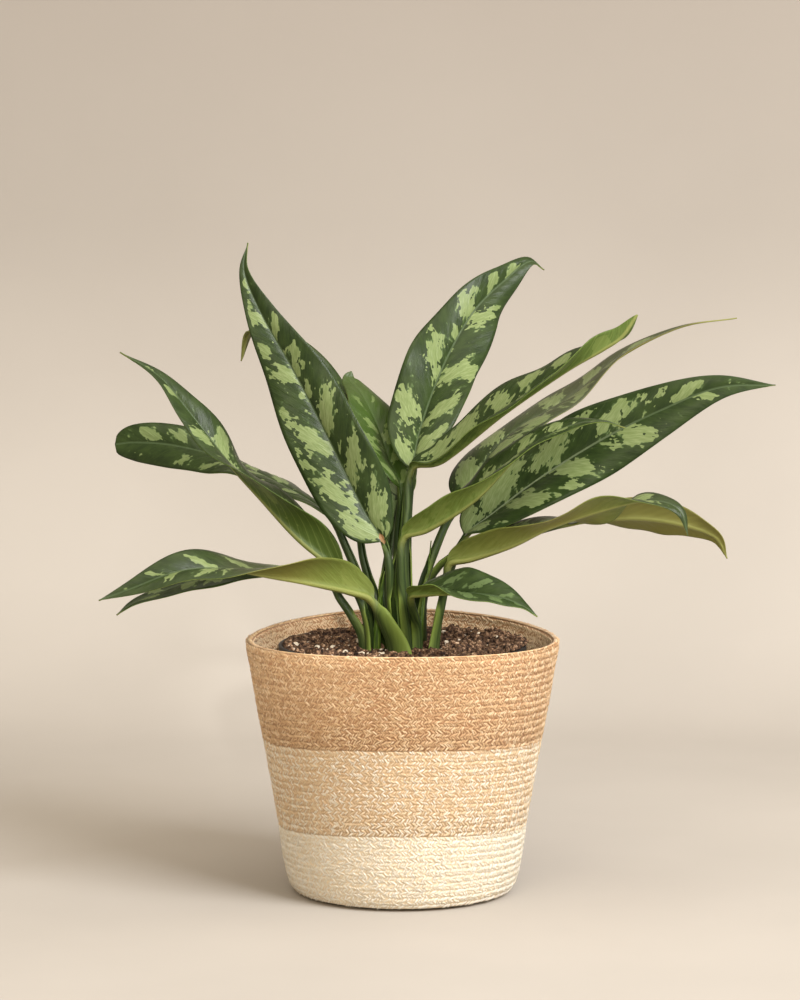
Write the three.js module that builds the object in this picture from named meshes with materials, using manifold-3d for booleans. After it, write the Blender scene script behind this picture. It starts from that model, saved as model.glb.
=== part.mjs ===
// A variegated foliage plant with sixteen leaves in a black nursery pot, inside a braided basket.
// Millimetres, +Z up, the front toward -Y; the basket stands on z = 0 with its axis on the Z axis.
import * as THREE from "three";
import Module from "manifold-3d";

const wasm = await Module();
wasm.setup();
const { Manifold, Mesh } = wasm;

const GAP = 0.3; // between neighbouring solids

// Basket: [height, outside radius], from the flat underside up to the rim
const BASKET_OUTSIDE = [
  [0, 71], [2.5, 75.5], [8, 78.6], [16, 80.6], [25, 82.4], [34, 83.6], [50, 85.4],
  [78, 90.2], [106, 95.2], [134, 100.6], [158, 104.4], [172, 107.2],
];
const BASKET_HEIGHT = 179;
const BASKET_WALL = 5;
const BASKET_FLOOR = 5;
const CREAM_TOP = 50.4;
const MIXED_TOP = 110.4;
const ROW_PITCH = 4.8; // height of one braided row
const ROW_BULGE = 0.8;
const SADDLE = 3; // the sides hang this much lower than the mean, front and back as much higher
const BASKET_SIDES = 28;

// Nursery pot
const POT_TOP = 172;
const POT_RIM_RADIUS = 85.4;
const POT_NECK_RADIUS = 82;
const POT_BASE_RADIUS = 61;
const POT_WALL = 1.5;
const POT_LIP = 7; // depth of the turned lip
const POT_SIDES = 28;
const DRAIN_HOLE = { radius: 5, ring: 40, count: 4 };

// Soil
const SOIL_TOP = 167.5;
const SOIL_LUMP = 1.7;
const SOIL_RINGS = 8;

// Stems: the middle line from the soil upward, with the radius at its foot and at its top
const STEMS = {
  stem_left: { foot: 4.2, top: 1.0, line: [[-16, -7, 118], [-18, -7, 150], [-17, -10, 190], [-12, -13, 224]] },
  stem_centre: { foot: 4.4, top: 1.0, line: [[-4, -9, 115], [-3, -9, 165], [-3, -9, 215], [1, -6, 282]] },
  stem_right: { foot: 4.2, top: 1.0, line: [[11, -3, 118], [12, -2, 150], [13, -2, 190], [20, 2, 243]] },
};

// Leaves. stalk: points of the leaf stalk up to the blade. blade: points of the midrib from the base to the tip,
// each with the degrees by which the left and the right half of the blade are raised there.
// half: greatest half width. base, point: how blunt the base and the tip are. wave: height of the margin's waves.
const LEAVES = {
  leaf_tall_left: {
    half: 28, point: 1.25, wave: 1.6,
    stalk: [[-8.5, -14.5, 150], [-6.5, -15.5, 181], [-8, -23, 207], [-9, -28, 229]],
    blade: [
      [-13, -24, 246, -60, 80], [-26, -20, 266, -64, 88], [-49, -12, 312, -68, 98], [-73, -4, 358, -70, 85],
      [-96, 4, 398, -66, 90], [-108, 10, 427, -60, 100], [-106, 14, 447, -55, 100],
    ],
  },
  leaf_tall_right: {
    half: 27, point: 1.0, wave: 2.4,
    stalk: [[0, -1, 150], [3, -3, 190], [3, -2, 230], [4, 0, 264]],
    blade: [
      [7, 2, 293, 30, 0], [13, 30, 320, 33, 0], [30, 74, 361, 50, -24], [51, 105, 395, 57, -46],
      [75, 128, 417, 70, -50], [91, 140, 428, 60, -50], [102, 144, 422, 50, -50],
    ],
  },
  leaf_folded_right: {
    half: 24, wave: 1.4,
    stalk: [[4.5, -5.5, 150], [3, -11, 192], [1, -18, 228], [3, -13, 263]],
    blade: [
      [6, -8, 294, 40, 24], [28, -18, 301, 45, 18], [68, -34, 334, 40, 15], [110, -46, 364, 30, 14],
      [134, -50, 378, 25, 70], [147, -52, 387, 0, 80], [157, -52, 402, -20, 70],
    ],
  },
  leaf_long_tip: {
    half: 25, base: 0.42, point: 1.9, wave: 1.4,
    stalk: [[6, 4, 150], [8, 5, 180], [14, 7, 212], [23, 10, 237], [31, 14, 255]],
    blade: [
      [41, 18, 269, 26, -20], [60, 36, 299, 8, -14], [82, 52, 318, 0, -10], [118, 70, 337, 8, 0],
      [153, 84, 364, 12, 10], [196, 96, 384, 8, 12], [237, 104, 390, 10, 12],
    ],
  },
  leaf_broad_right: {
    half: 29, base: 0.42, wave: 1.8,
    stalk: [[20, 1, 150], [23, 3, 180], [27, 4, 203], [34, 3, 226]],
    blade: [
      [43, 0, 247, 60, -10], [61, -4, 262, 65, -20], [92, -14, 287, 54, -42], [134, -26, 315, 72, -68],
      [174, -34, 336, 84, -78], [213, -40, 352, 84, -66], [251, -42, 354, 80, -60],
    ],
  },
  leaf_folded_front: {
    half: 20, wave: 1.2,
    stalk: [[4, -14, 150], [2.5, -17, 181], [0, -26, 206], [-1, -29, 234]],
    blade: [
      [1, -28, 249, 50, 60], [18, -36, 256, 48, 52], [49, -50, 278, 40, 32], [79, -62, 310, 36, 12],
      [108, -72, 328, 20, 6], [131, -78, 333, 6, 4], [148, -82, 329, 0, 0],
    ],
  },
  leaf_small_front: {
    half: 19, wave: 1,
    stalk: [[10, -10, 150], [10, -12, 182], [8, -23, 195], [6, -33, 204]],
    blade: [
      [6, -40, 211, 20, 30], [15, -47, 213, 33, 30], [32, -58, 215, 54, 18], [52, -70, 216, 60, -8],
      [68, -78, 214, 42, -14], [81, -83, 209, 25, 0], [90, -86, 203, 20, 0],
    ],
  },
  leaf_twisted_right: {
    half: 22, wave: 1,
    stalk: [[18, -9, 150], [22, -7, 178], [27, -12, 203], [30, -17, 219]],
    blade: [
      [32, -20, 230, 40, 88], [47, -25, 234, 40, 66], [74, -32, 244, 44, 42], [101, -38, 258, 10, 15],
      [136, -44, 270, -36, 34], [160, -46, 276, 16, 6], [178, -50, 275, 30, -20], [188, -53, 268, 40, -50],
      [192, -54, 253, 40, -60],
    ],
  },
  leaf_arching_right: {
    half: 19, wave: 0.8,
    stalk: [[13, 7, 150], [13, 11, 180], [14, 15, 203], [22, 15, 221], [35, 12, 232], [62, 8, 240], [90, 2, 249]],
    blade: [
      [114, -2, 256, 20, -10], [132, -5, 259, -8, 15], [162, -8, 260, -34, 60],
      [190, -12, 256, -42, 70], [213, -14, 248, -50, 60], [222, -15, 233, -50, 60],
    ],
  },
  leaf_low_left: {
    half: 24, wave: 1,
    stalk: [[-3, -22, 150], [-5, -23, 173], [-12, -27, 190]],
    blade: [
      [-21, -31, 206, 90, 20], [-36, -38, 213, 80, 10], [-62, -54, 221, 60, 5], [-89, -68, 228, 24, 15],
      [-118, -80, 234.5, -6, 24], [-148, -90, 234, -24, 54], [-180, -98, 223, -36, 70], [-201, -102, 216, -40, 60],
    ],
  },
  leaf_low_left_under: {
    half: 18, wave: 0.8,
    stalk: [[-26, -8, 150], [-27, -8, 176], [-34, -7, 191], [-43, -5, 204]],
    blade: [
      [-51, -4, 216, 10, 4], [-77, -10, 226, -10, -12], [-103, -26, 229, -18, -8], [-136, -48, 224, -20, 10],
      [-163, -62, 216, -20, 20], [-180, -71, 210, -10, 24], [-191, -78, 203, -10, 24],
    ],
  },
  leaf_upper_left: {
    half: 24, point: 1.3, wave: 1.4,
    stalk: [[-22, -14.5, 150], [-23, -15, 185], [-31, -15, 209]],
    blade: [
      [-43, -14, 223, 80, 30], [-70, -12, 245, 75, 30], [-96, -6, 273, 35, 15], [-118, 4, 296, 6, 5],
      [-146, 14, 330, -24, 42], [-167, 22, 354, -12, 40], [-195, 30, 371, 0, 30],
    ],
  },
  leaf_blunt_left: {
    half: 19, base: 0.4, point: 0.32, wave: 1.2,
    stalk: [[-22, 0, 150], [-21.5, -1, 188], [-28, 3, 212], [-39, 9, 238]],
    blade: [
      [-49, 14, 258, 0, -10], [-64, 30, 268, 0, -10], [-93, 56, 281, -5, -12], [-125, 82, 292, -27, -9],
      [-162, 104, 299, -60, 50], [-190, 116, 300, -75, 70], [-206, 122, 298, -75, 70],
    ],
  },
  leaf_hooked_left: {
    half: 24, wave: 1,
    stalk: [[-15, 1, 150], [-15, 3, 182], [-20, 8, 205], [-27, 13, 229]],
    blade: [
      [-30, 16, 250, 20, -20], [-36, 38, 283, 30, -15], [-45, 64, 321, 30, 0], [-62, 84, 347, 10, 28],
      [-87, 98, 373, -20, 60], [-107, 104, 381, -30, 60], [-115, 108, 359, -40, 40],
    ],
  },
  leaf_behind_centre: {
    half: 21, point: 0.8, wave: 1.2,
    stalk: [[-7, -0.5, 150], [-4, 0, 190], [-4, 4, 218], [-3, 4, 250]],
    blade: [
      [-1, 3, 279, 40, -20], [-9, 22, 297, 35, -20], [-18, 46, 320, 30, -20], [-29, 64, 340, 20, -20],
      [-37, 74, 348, 0, 0], [-36, 78, 354, 0, 0],
    ],
  },
  leaf_back: {
    half: 24, wave: 1.4,
    stalk: [[-10.5, -5, 150], [-11, -5, 190], [-12, 6, 215], [-9, 16, 236]],
    blade: [
      [-2, 30, 254, 10, 10], [6, 62, 271, 10, 10], [8, 96, 282, 10, 10], [8, 130, 282, 15, 15],
      [6, 152, 273, 15, 15], [5, 162, 263, 15, 15],
    ],
  },
};
const BLADE_THICK = 0.8; // at the margin
const RIB_THICK = 1.5; // more at the midrib, less toward the tip
const STALK_RADIUS = { foot: 4.2, neck: 2.5 };
const BLADE_STEPS = [0, 0.04, 0.1, 0.19, 0.3, 0.42, 0.54, 0.65, 0.76, 0.86, 0.94, 1];
const STALK_STEPS = 4;
const ACROSS = [-1, -0.6, -0.22, 0, 0.22, 0.6, 1]; // from the left margin to the right one

const group = new THREE.Group();

function material(colour, roughness) {
  return new THREE.MeshStandardMaterial({ color: colour, roughness, metalness: 0 });
}

function add(name, geometry, look) {
  const mesh = new THREE.Mesh(geometry, look);
  mesh.name = name;
  group.add(mesh);
}

// Rings of points, joined by triangles and closed at both ends by a fan.
function skin(rings) {
  const sides = rings[0].length;
  const positions = rings.flat().flatMap((p) => [p.x, p.y, p.z]);
  const index = [];
  for (let i = 0; i + 1 < rings.length; i++) {
    for (let j = 0; j < sides; j++) {
      const a = i * sides + j;
      const b = i * sides + ((j + 1) % sides);
      index.push(a, b, b + sides, a, b + sides, a + sides);
    }
  }
  const caps = [[0, false], [rings.length - 1, true]];
  for (const [ring, up] of caps) {
    const middle = rings[ring].reduce((sum, p) => sum.add(p), new THREE.Vector3()).divideScalar(sides);
    const centre = positions.length / 3;
    positions.push(middle.x, middle.y, middle.z);
    for (let j = 0; j < sides; j++) {
      const a = ring * sides + j;
      const b = ring * sides + ((j + 1) % sides);
      index.push(...(up ? [centre, a, b] : [centre, b, a]));
    }
  }
  const geometry = new THREE.BufferGeometry();
  geometry.setAttribute("position", new THREE.Float32BufferAttribute(positions, 3));
  geometry.setIndex(index);
  return geometry;
}

function toManifold(geometry) {
  const vertProperties = new Float32Array(geometry.attributes.position.array);
  const mesh = new Mesh({ numProp: 3, vertProperties, triVerts: new Uint32Array(geometry.index.array) });
  mesh.merge();
  return new Manifold(mesh);
}

function fromManifold(solid) {
  const mesh = solid.getMesh();
  const geometry = new THREE.BufferGeometry();
  geometry.setAttribute("position", new THREE.Float32BufferAttribute(mesh.vertProperties, 3));
  geometry.setIndex(Array.from(mesh.triVerts));
  return geometry;
}

// Lathes.

// A closed turned solid: profile points [height, radius] round one section, counter-clockwise with the radius
// to the right and the height up. Where radius is 0 the point lies on the axis.
function turned(profile, sides, shape = (p) => p) {
  const points = profile.map(([z, r]) => new THREE.Vector2(r, z));
  const lathe = new THREE.LatheGeometry(points, sides);
  const at = lathe.attributes.position;
  for (let i = 0; i < at.count; i++) {
    const p = shape(new THREE.Vector3(at.getX(i), -at.getZ(i), at.getY(i)));
    at.setXYZ(i, p.x, p.y, p.z);
  }
  return lathe;
}

// Basket.

function outsideRadius(z) {
  const low = BASKET_OUTSIDE.findLast(([height]) => height <= z);
  const high = BASKET_OUTSIDE.find(([height]) => height > z);
  if (!high) return low[1] + (z - low[0]) * 0.12;
  return low[1] + ((high[1] - low[1]) * (z - low[0])) / (high[0] - low[0]);
}

// The sides of the basket hang lower than its front and back; the floor stays flat.
function saddle(p) {
  const turn = Math.atan2(p.y, p.x);
  const grow = Math.max(0, Math.min(1, (p.z - BASKET_FLOOR) / (CREAM_TOP - BASKET_FLOOR)));
  return new THREE.Vector3(p.x, p.y, p.z - SADDLE * grow * Math.cos(2 * turn));
}

// Rows of braid up the outside from one height to another: a valley between rows and a crest in each.
function braidRows(from, to) {
  const rows = Math.round((to - from) / ROW_PITCH);
  const pitch = (to - from) / rows;
  const points = [];
  for (let row = 0; row < rows; row++) {
    const low = from + row * pitch;
    const middle = low + pitch / 2;
    points.push([low, outsideRadius(low)], [middle, outsideRadius(middle) + ROW_BULGE]);
  }
  points.push([to, outsideRadius(to)]);
  return points;
}

function insideWall(from, to, steps) {
  const points = [];
  for (let i = 0; i <= steps; i++) {
    const z = from + ((to - from) * i) / steps;
    points.push([z, outsideRadius(z) - BASKET_WALL]);
  }
  return points;
}

function creamBand() {
  const top = CREAM_TOP - GAP / 2;
  const inside = insideWall(BASKET_FLOOR + 8, top, 3).reverse();
  const floor = [[BASKET_FLOOR, outsideRadius(BASKET_FLOOR) - BASKET_WALL - 5], [BASKET_FLOOR, 0]];
  return turned([[0, 0], ...braidRows(0, top), ...inside, ...floor], BASKET_SIDES, saddle);
}

function mixedBand() {
  const bottom = CREAM_TOP + GAP / 2;
  const top = MIXED_TOP - GAP / 2;
  const section = [...braidRows(bottom, top), ...insideWall(bottom, top, 3).reverse()];
  return turned([...section, section[0]], BASKET_SIDES, saddle);
}

function tanBand() {
  const bottom = MIXED_TOP + GAP / 2;
  const shoulder = BASKET_HEIGHT - ROW_PITCH / 2;
  const radius = outsideRadius(shoulder);
  const rim = [[BASKET_HEIGHT - 0.7, radius - 0.9], [BASKET_HEIGHT, radius - 2.6], [BASKET_HEIGHT - 0.7, radius - 4.3]];
  const inside = insideWall(bottom, shoulder, 4).reverse();
  const section = [...braidRows(bottom, shoulder), ...rim, ...inside];
  return turned([...section, section[0]], BASKET_SIDES, saddle);
}

// Nursery pot: a thin tapered wall with a turned lip, a floor with drain holes.

function nurseryPot() {
  const floor = BASKET_FLOOR + GAP;
  const neck = POT_TOP - POT_LIP;
  const wall = POT_WALL;
  const profile = [
    [floor + 2, 0], [floor + 2, POT_BASE_RADIUS - 12], [floor, POT_BASE_RADIUS - 9], [floor, POT_BASE_RADIUS - 2],
    [floor + 2, POT_BASE_RADIUS],
    [neck, POT_NECK_RADIUS], [neck, POT_RIM_RADIUS], [POT_TOP - 0.6, POT_RIM_RADIUS], [POT_TOP, POT_RIM_RADIUS - 0.8],
    [POT_TOP, POT_RIM_RADIUS - 2.2], [POT_TOP - 1, POT_RIM_RADIUS - 2.8],
    [neck + 1.5, POT_NECK_RADIUS - wall + 0.4], [neck - 2, POT_NECK_RADIUS - wall - 0.3],
    [floor + 4, POT_BASE_RADIUS - wall], [floor + 2 + wall, POT_BASE_RADIUS - wall - 2], [floor + 2 + wall, 0],
  ];
  let pot = toManifold(turned(profile, POT_SIDES));
  for (let i = 0; i < DRAIN_HOLE.count; i++) {
    const turn = (2 * Math.PI * (i + 0.5)) / DRAIN_HOLE.count;
    const hole = new THREE.CylinderGeometry(DRAIN_HOLE.radius, DRAIN_HOLE.radius, 30, 12);
    hole.rotateX(Math.PI / 2);
    hole.translate(DRAIN_HOLE.ring * Math.cos(turn), DRAIN_HOLE.ring * Math.sin(turn), floor);
    pot = pot.subtract(toManifold(hole));
  }
  return fromManifold(pot);
}

// Soil: fills the pot to a lumpy top, with a plain hole for each stem and stalk.

// A number from 0 to 1, the same for the same cell every time.
function cellDraw(i, j) {
  const wide = Math.sin(i * 127.1 + j * 311.7) * 43758.5453;
  return wide - Math.floor(wide);
}

function soilTop(ring, spoke) {
  const edge = ring / SOIL_RINGS;
  return SOIL_TOP + 1.5 * (1 - edge) + SOIL_LUMP * (cellDraw(ring, spoke) - 0.5) * 2;
}

function soil(planted) {
  const clear = POT_WALL + GAP;
  const bottom = BASKET_FLOOR + GAP + 2 + clear;
  const topRadius = POT_NECK_RADIUS - clear - 0.2;
  const wallRadius = (z) => {
    const along = (z - bottom) / (POT_TOP - POT_LIP - bottom);
    return POT_BASE_RADIUS - clear + (POT_NECK_RADIUS - POT_BASE_RADIUS) * Math.min(1, along) - 0.4;
  };
  const rings = [];
  for (const [z, radius] of [[bottom, POT_BASE_RADIUS - 5], [bottom + 4, wallRadius(bottom + 4)], [150, wallRadius(150)]]) {
    rings.push(ringAt(() => z, radius));
  }
  for (let ring = SOIL_RINGS; ring > 0; ring--) {
    const radius = (wallRadius(SOIL_TOP - 4) * ring) / SOIL_RINGS;
    rings.push(ringAt((spoke) => soilTop(ring, spoke), Math.min(radius, topRadius)));
  }
  let body = toManifold(skin(rings));
  for (const plant of planted) body = body.subtract(plant);
  return fromManifold(body);
}

function ringAt(height, radius) {
  const points = [];
  for (let spoke = 0; spoke < POT_SIDES; spoke++) {
    const turn = (2 * Math.PI * spoke) / POT_SIDES;
    points.push(new THREE.Vector3(radius * Math.cos(turn), radius * Math.sin(turn), height(spoke)));
  }
  return points;
}

// Curves.

function curve(points) {
  return new THREE.CatmullRomCurve3(points.map(([x, y, z]) => new THREE.Vector3(x, y, z)), false, "catmullrom", 0.5);
}

function stem({ foot, top, line }, grow = 0) {
  const path = curve(line);
  const sides = 10;
  const rings = [];
  const steps = [0, 0.25, 0.4, 0.55, 0.7, 0.85, 1];
  for (const s of steps) {
    const centre = path.getPointAt(s);
    if (s === 0) centre.z -= grow;
    if (s === 1) centre.z += grow;
    const radius = foot + (top - foot) * s ** 1.5 + grow;
    const ring = [];
    for (let j = 0; j < sides; j++) {
      const turn = (2 * Math.PI * j) / sides;
      ring.push(new THREE.Vector3(radius * Math.cos(turn), radius * Math.sin(turn), 0).add(centre));
    }
    rings.push(ring);
  }
  return skin(rings);
}

// Leaves.

function halfWidth(u, { half, base = 0.5, point = 1.1 }) {
  const peak = base / (base + point);
  return (half * u ** base * (1 - u) ** point) / (peak ** base * (1 - peak) ** point);
}

// The leaf's own sideways and upward directions, square to its middle line.
function leafFrame(along, left) {
  const side = left.clone().addScaledVector(along, -left.dot(along)).normalize();
  return { side, up: new THREE.Vector3().crossVectors(along, side) };
}

// The value of column k of the blade's rows at t from 0 to 1.
function rowValue(rows, k, t) {
  return curve(rows.map((row) => [row[k], 0, 0])).getPoint(t).x;
}

function bladeRing(leaf, u, t, centre, frame) {
  const width = Math.max(halfWidth(u, leaf), u < 0.5 ? STALK_RADIUS.neck : 0.8);
  const broad = Math.min(1, (1.5 * width) / leaf.half);
  const raise = { left: rowValue(leaf.blade, 3, t), right: rowValue(leaf.blade, 4, t) };
  const halves = [[1, raise.left], [-1, raise.right]].map(([sign, degrees]) => {
    const angle = (degrees * Math.PI) / 180;
    const out = frame.side.clone().multiplyScalar(sign * Math.cos(angle)).addScaledVector(frame.up, Math.sin(angle));
    const face = frame.side.clone().multiplyScalar(-sign * Math.sin(angle)).addScaledVector(frame.up, Math.cos(angle));
    return { out, face, phase: sign > 0 ? 0 : 2 };
  });
  const ridge = halves[0].face.clone().add(halves[1].face).normalize();
  const above = [];
  const below = [];
  for (const v of ACROSS) {
    const { out, face, phase } = v <= 0 ? halves[0] : halves[1];
    const reach = Math.abs(v);
    const wave = leaf.wave * broad * reach ** 2 * Math.sin(6 * Math.PI * u + phase);
    const arch = 0.08 * width * Math.sin(Math.PI * reach);
    const normal = v === 0 ? ridge : face;
    const top = centre.clone().addScaledVector(out, width * reach).addScaledVector(face, wave + arch);
    const thick = BLADE_THICK + RIB_THICK * (1 - u) * (1 - reach) ** 2;
    above.push(top);
    below.push(top.clone().addScaledVector(normal, -thick));
  }
  return [...above, ...below.reverse()];
}

function stalkRing(radius, centre, frame) {
  const count = ACROSS.length;
  const ring = [];
  for (let j = 0; j < 2 * count; j++) {
    const turn = Math.PI - (Math.PI * (j + 0.5)) / count;
    const out = frame.side.clone().multiplyScalar(-radius * Math.cos(turn));
    ring.push(out.addScaledVector(frame.up, radius * Math.sin(turn)).add(centre));
  }
  return ring;
}

// The middle line of a leaf, the share of it that is stalk, and the direction to the leaf's left.
function leafLine(leaf) {
  const rows = [...leaf.stalk, ...leaf.blade];
  const path = curve(rows);
  const joint = leaf.stalk.length / (rows.length - 1);
  const lengths = path.getLengths(400);
  const neck = lengths[Math.round(400 * joint)] / lengths[400];
  const first = leaf.blade[0];
  const last = leaf.blade[leaf.blade.length - 1];
  const left = new THREE.Vector3(first[1] - last[1], last[0] - first[0], 0).normalize();
  return { path, joint, neck, left };
}

function stalkRings({ path, neck, left }, grow = 0) {
  const rings = [];
  for (let i = 0; i < STALK_STEPS; i++) {
    const s = i / STALK_STEPS;
    const centre = path.getPointAt(neck * s);
    if (i === 0) centre.z -= grow;
    const radius = STALK_RADIUS.foot + (STALK_RADIUS.neck - STALK_RADIUS.foot) * s + grow;
    rings.push(stalkRing(radius, centre, leafFrame(path.getTangentAt(neck * s), left)));
  }
  return rings;
}

function leafSolid(leaf) {
  const line = leafLine(leaf);
  const { path, joint, neck, left } = line;
  const rings = stalkRings(line);
  for (const u of BLADE_STEPS) {
    const t = path.getUtoTmapping(neck + (1 - neck) * u);
    const row = Math.max(0, (t - joint) / (1 - joint));
    rings.push(bladeRing(leaf, u, row, path.getPoint(t), leafFrame(path.getTangent(t), left)));
  }
  return skin(rings);
}

// Assembly.

const stemCuts = Object.values(STEMS).map((shape) => toManifold(stem(shape, GAP)));
const stalkCuts = Object.values(LEAVES).map((leaf) => toManifold(skin(stalkRings(leafLine(leaf), GAP))));

add("basket_cream_band", creamBand(), material("#e9dcc0", 0.95));
add("basket_mixed_band", mixedBand(), material("#dcc49a", 0.95));
add("basket_tan_band", tanBand(), material("#cda874", 0.95));
add("nursery_pot", nurseryPot(), material("#1b1b1c", 0.5));
add("potting_soil", soil([...stemCuts, ...stalkCuts]), material("#3b2a20", 1));
for (const [name, shape] of Object.entries(STEMS)) {
  add(name, stem(shape), material("#54742d", 0.5));
}
// Where stalks crowd at the foot, each is grooved to clasp the stems and the stalks before it.
Object.entries(LEAVES).forEach(([name, leaf], place) => {
  let solid = toManifold(leafSolid(leaf));
  for (const cut of [...stemCuts, ...stalkCuts.slice(0, place)]) solid = solid.subtract(cut);
  add(name, fromManifold(solid), material("#3f6a3a", 0.4));
});

export default group;
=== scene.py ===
# %% [markdown]
# A patterned foliage plant in a nursery pot, dropped into a braided basket. The construction comes
# from the packed model, which loads first and stays as it is. Each cell below then makes one piece
# or one finish, in metres, in the same frame: +Z up, the front toward -Y, the basket on z = 0.

import math
import random

import bmesh
import bpy
from mathutils import Matrix, Vector, noise


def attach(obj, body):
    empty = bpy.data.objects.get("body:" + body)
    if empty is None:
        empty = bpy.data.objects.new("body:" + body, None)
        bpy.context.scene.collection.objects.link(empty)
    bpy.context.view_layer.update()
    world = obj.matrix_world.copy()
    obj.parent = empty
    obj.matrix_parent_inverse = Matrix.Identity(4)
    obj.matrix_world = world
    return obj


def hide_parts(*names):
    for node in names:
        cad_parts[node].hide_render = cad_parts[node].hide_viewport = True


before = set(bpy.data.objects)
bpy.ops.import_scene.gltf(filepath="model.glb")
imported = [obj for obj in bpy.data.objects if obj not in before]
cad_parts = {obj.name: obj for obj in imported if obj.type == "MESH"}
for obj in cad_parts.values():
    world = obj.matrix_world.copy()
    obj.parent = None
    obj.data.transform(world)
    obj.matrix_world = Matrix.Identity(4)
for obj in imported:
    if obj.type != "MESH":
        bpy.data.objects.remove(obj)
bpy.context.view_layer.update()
MM = 0.001
print("nodes in the frame:", len(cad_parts))

# %% [markdown]
# The camera stands well back with a long lens, as product photographers do, so that the leaves that
# reach toward it don't swell. It looks slightly down, and a hair to one side, which a small lens
# shift gives without turning the object.

# %% Camera
CAMERA_PLACE = (0, -2.65, 0.565)
CAMERA_TARGET = (0, 0, 0.2714)
LENS = 139.97
LENS_SHIFT = -0.0025
FILM_WIDTH = 36


def stand(name, data, place, target):
    """Puts a camera or a lamp into the scene at a place, aimed at a target."""
    made = bpy.data.objects.new(name, data)
    made.location = place
    made.rotation_euler = (Vector(target) - Vector(place)).to_track_quat("-Z", "Y").to_euler()
    bpy.context.scene.collection.objects.link(made)
    return made


camera = bpy.data.cameras.new("camera")
camera.lens = LENS
camera.sensor_width = FILM_WIDTH
camera.shift_x = LENS_SHIFT
bpy.context.scene.camera = stand("camera", camera, CAMERA_PLACE, CAMERA_TARGET)
bpy.context.scene.view_settings.view_transform = "Standard"
print("camera stands back", -CAMERA_PLACE[1], "m")

# %% [markdown]
# Materials are node trees. One short class keeps them readable: it starts a material, and each of its
# methods adds a node, linking every input that is given a socket and setting every other one.

# %% Material helper


class Look:
    """A material with its Principled shader. Constant inputs are set on the shader's own sockets."""

    def __init__(self, name, roughness, **inputs):
        self.material = bpy.data.materials.new(name)
        self.material.use_nodes = True
        self.tree = self.material.node_tree
        self.shader = self.tree.nodes["Principled BSDF"]
        self.shader.inputs["Roughness"].default_value = roughness
        for socket, value in inputs.items():
            self.shader.inputs[socket.replace("_", " ")].default_value = value

    def join(self, value, socket):
        """Links an output to a socket, or sets the socket to a plain value."""
        if isinstance(value, bpy.types.NodeSocket):
            self.tree.links.new(value, socket)
        else:
            socket.default_value = value

    def add(self, kind, inputs=(), **settings):
        """Adds a node. inputs pairs a socket's name or number with a value or another's output."""
        node = self.tree.nodes.new("ShaderNode" + kind)
        for setting, value in settings.items():
            setattr(node, setting, value)
        for socket, value in dict(inputs).items():
            self.join(value, node.inputs[socket])
        return node

    def math(self, operation, a, b=0.0):
        return self.add("Math", {0: a, 1: b}, operation=operation).outputs[0]

    def times(self, a, b):
        return self.math("MULTIPLY", a, b)

    def plus(self, a, b):
        return self.math("ADD", a, b)

    def sway(self, value, weight):
        """A noise's distance from its middle, times a weight."""
        return self.times(self.math("SUBTRACT", value, 0.5), weight)

    def cut(self, value, low, high):
        """Goes from 0 at low to 1 at high, and no further."""
        return self.add("MapRange", {"Value": value, "From Min": low, "From Max": high}).outputs[0]

    def blend(self, factor, a, b, how="MIX"):
        """Goes from colour a to colour b as factor goes from 0 to 1."""
        mix = self.add("Mix", {"Factor": factor}, data_type="RGBA", blend_type=how)
        self.join(a, mix.inputs[6])
        self.join(b, mix.inputs[7])
        return mix.outputs[2]

    def ramp(self, value, stops):
        """A colour ramp through stops of (place, colour)."""
        node = self.add("ValToRGB", {"Fac": value})
        elements = node.color_ramp.elements
        while len(elements) < len(stops):
            elements.new(0.5)
        for element, (place, colour) in zip(elements, stops):
            element.position = place
            element.color = colour
        return node.outputs["Color"]

    def attribute(self, name, output="Fac"):
        """The value that the piece carries under that name."""
        return self.add("Attribute", attribute_name=name).outputs[output]

    def parts(self, vector):
        return self.add("SeparateXYZ", {0: vector}).outputs

    def vector(self, *parts):
        return self.add("CombineXYZ", dict(enumerate(parts))).outputs[0]

    def object_place(self):
        return self.add("TexCoord").outputs["Object"]

    def noise(self, vector, scale, detail, roughness=0.5):
        inputs = {"Vector": vector, "Scale": scale, "Detail": detail, "Roughness": roughness}
        return self.add("TexNoise", inputs).outputs["Fac"]

    def paint(self, colour):
        self.join(colour, self.shader.inputs["Base Color"])

    def bump(self, height, distance):
        """Puts a height, in metres when it goes from 0 to 1, into the shader's normal."""
        relief = self.add("Bump", {"Height": height, "Distance": distance, "Strength": 1.0})
        self.join(relief.outputs["Normal"], self.shader.inputs["Normal"])

    def mix_in(self, other, amount):
        """Makes the surface a mix of the Principled shader and another one."""
        both = self.add("MixShader", {0: amount, 1: self.shader.outputs[0], 2: other.outputs[0]})
        self.join(both.outputs[0], self.tree.nodes["Material Output"].inputs["Surface"])


print("what a look can do:", [name for name in vars(Look) if not name.startswith("_")])

# %% [markdown]
# Colours are easiest to choose as the eye sees them on a screen, each part from 0 to 255. A shader
# adds up light instead, so it takes linear values. One function turns the first into the second.

# %% Colours as seen


def srgb(red, green, blue):
    """A colour as seen, 0 to 255, in the linear values that the shader takes."""
    def linear(c):
        c /= 255
        return c / 12.92 if c <= 0.04045 else ((c + 0.055) / 1.055) ** 2.4
    return (linear(red), linear(green), linear(blue), 1.0)


print("middle grey, as a shader takes it:", srgb(128, 128, 128))

# %% [markdown]
# Every piece is made in a bmesh and then turned into an object at the origin, shaded smooth. A piece
# of the plant or the basket also rides on the model's one body and takes the place of the plain solid.

# %% Piece helpers


def to_mesh(name, shape):
    mesh = bpy.data.meshes.new(name)
    shape.to_mesh(mesh)
    shape.free()
    return mesh


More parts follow.
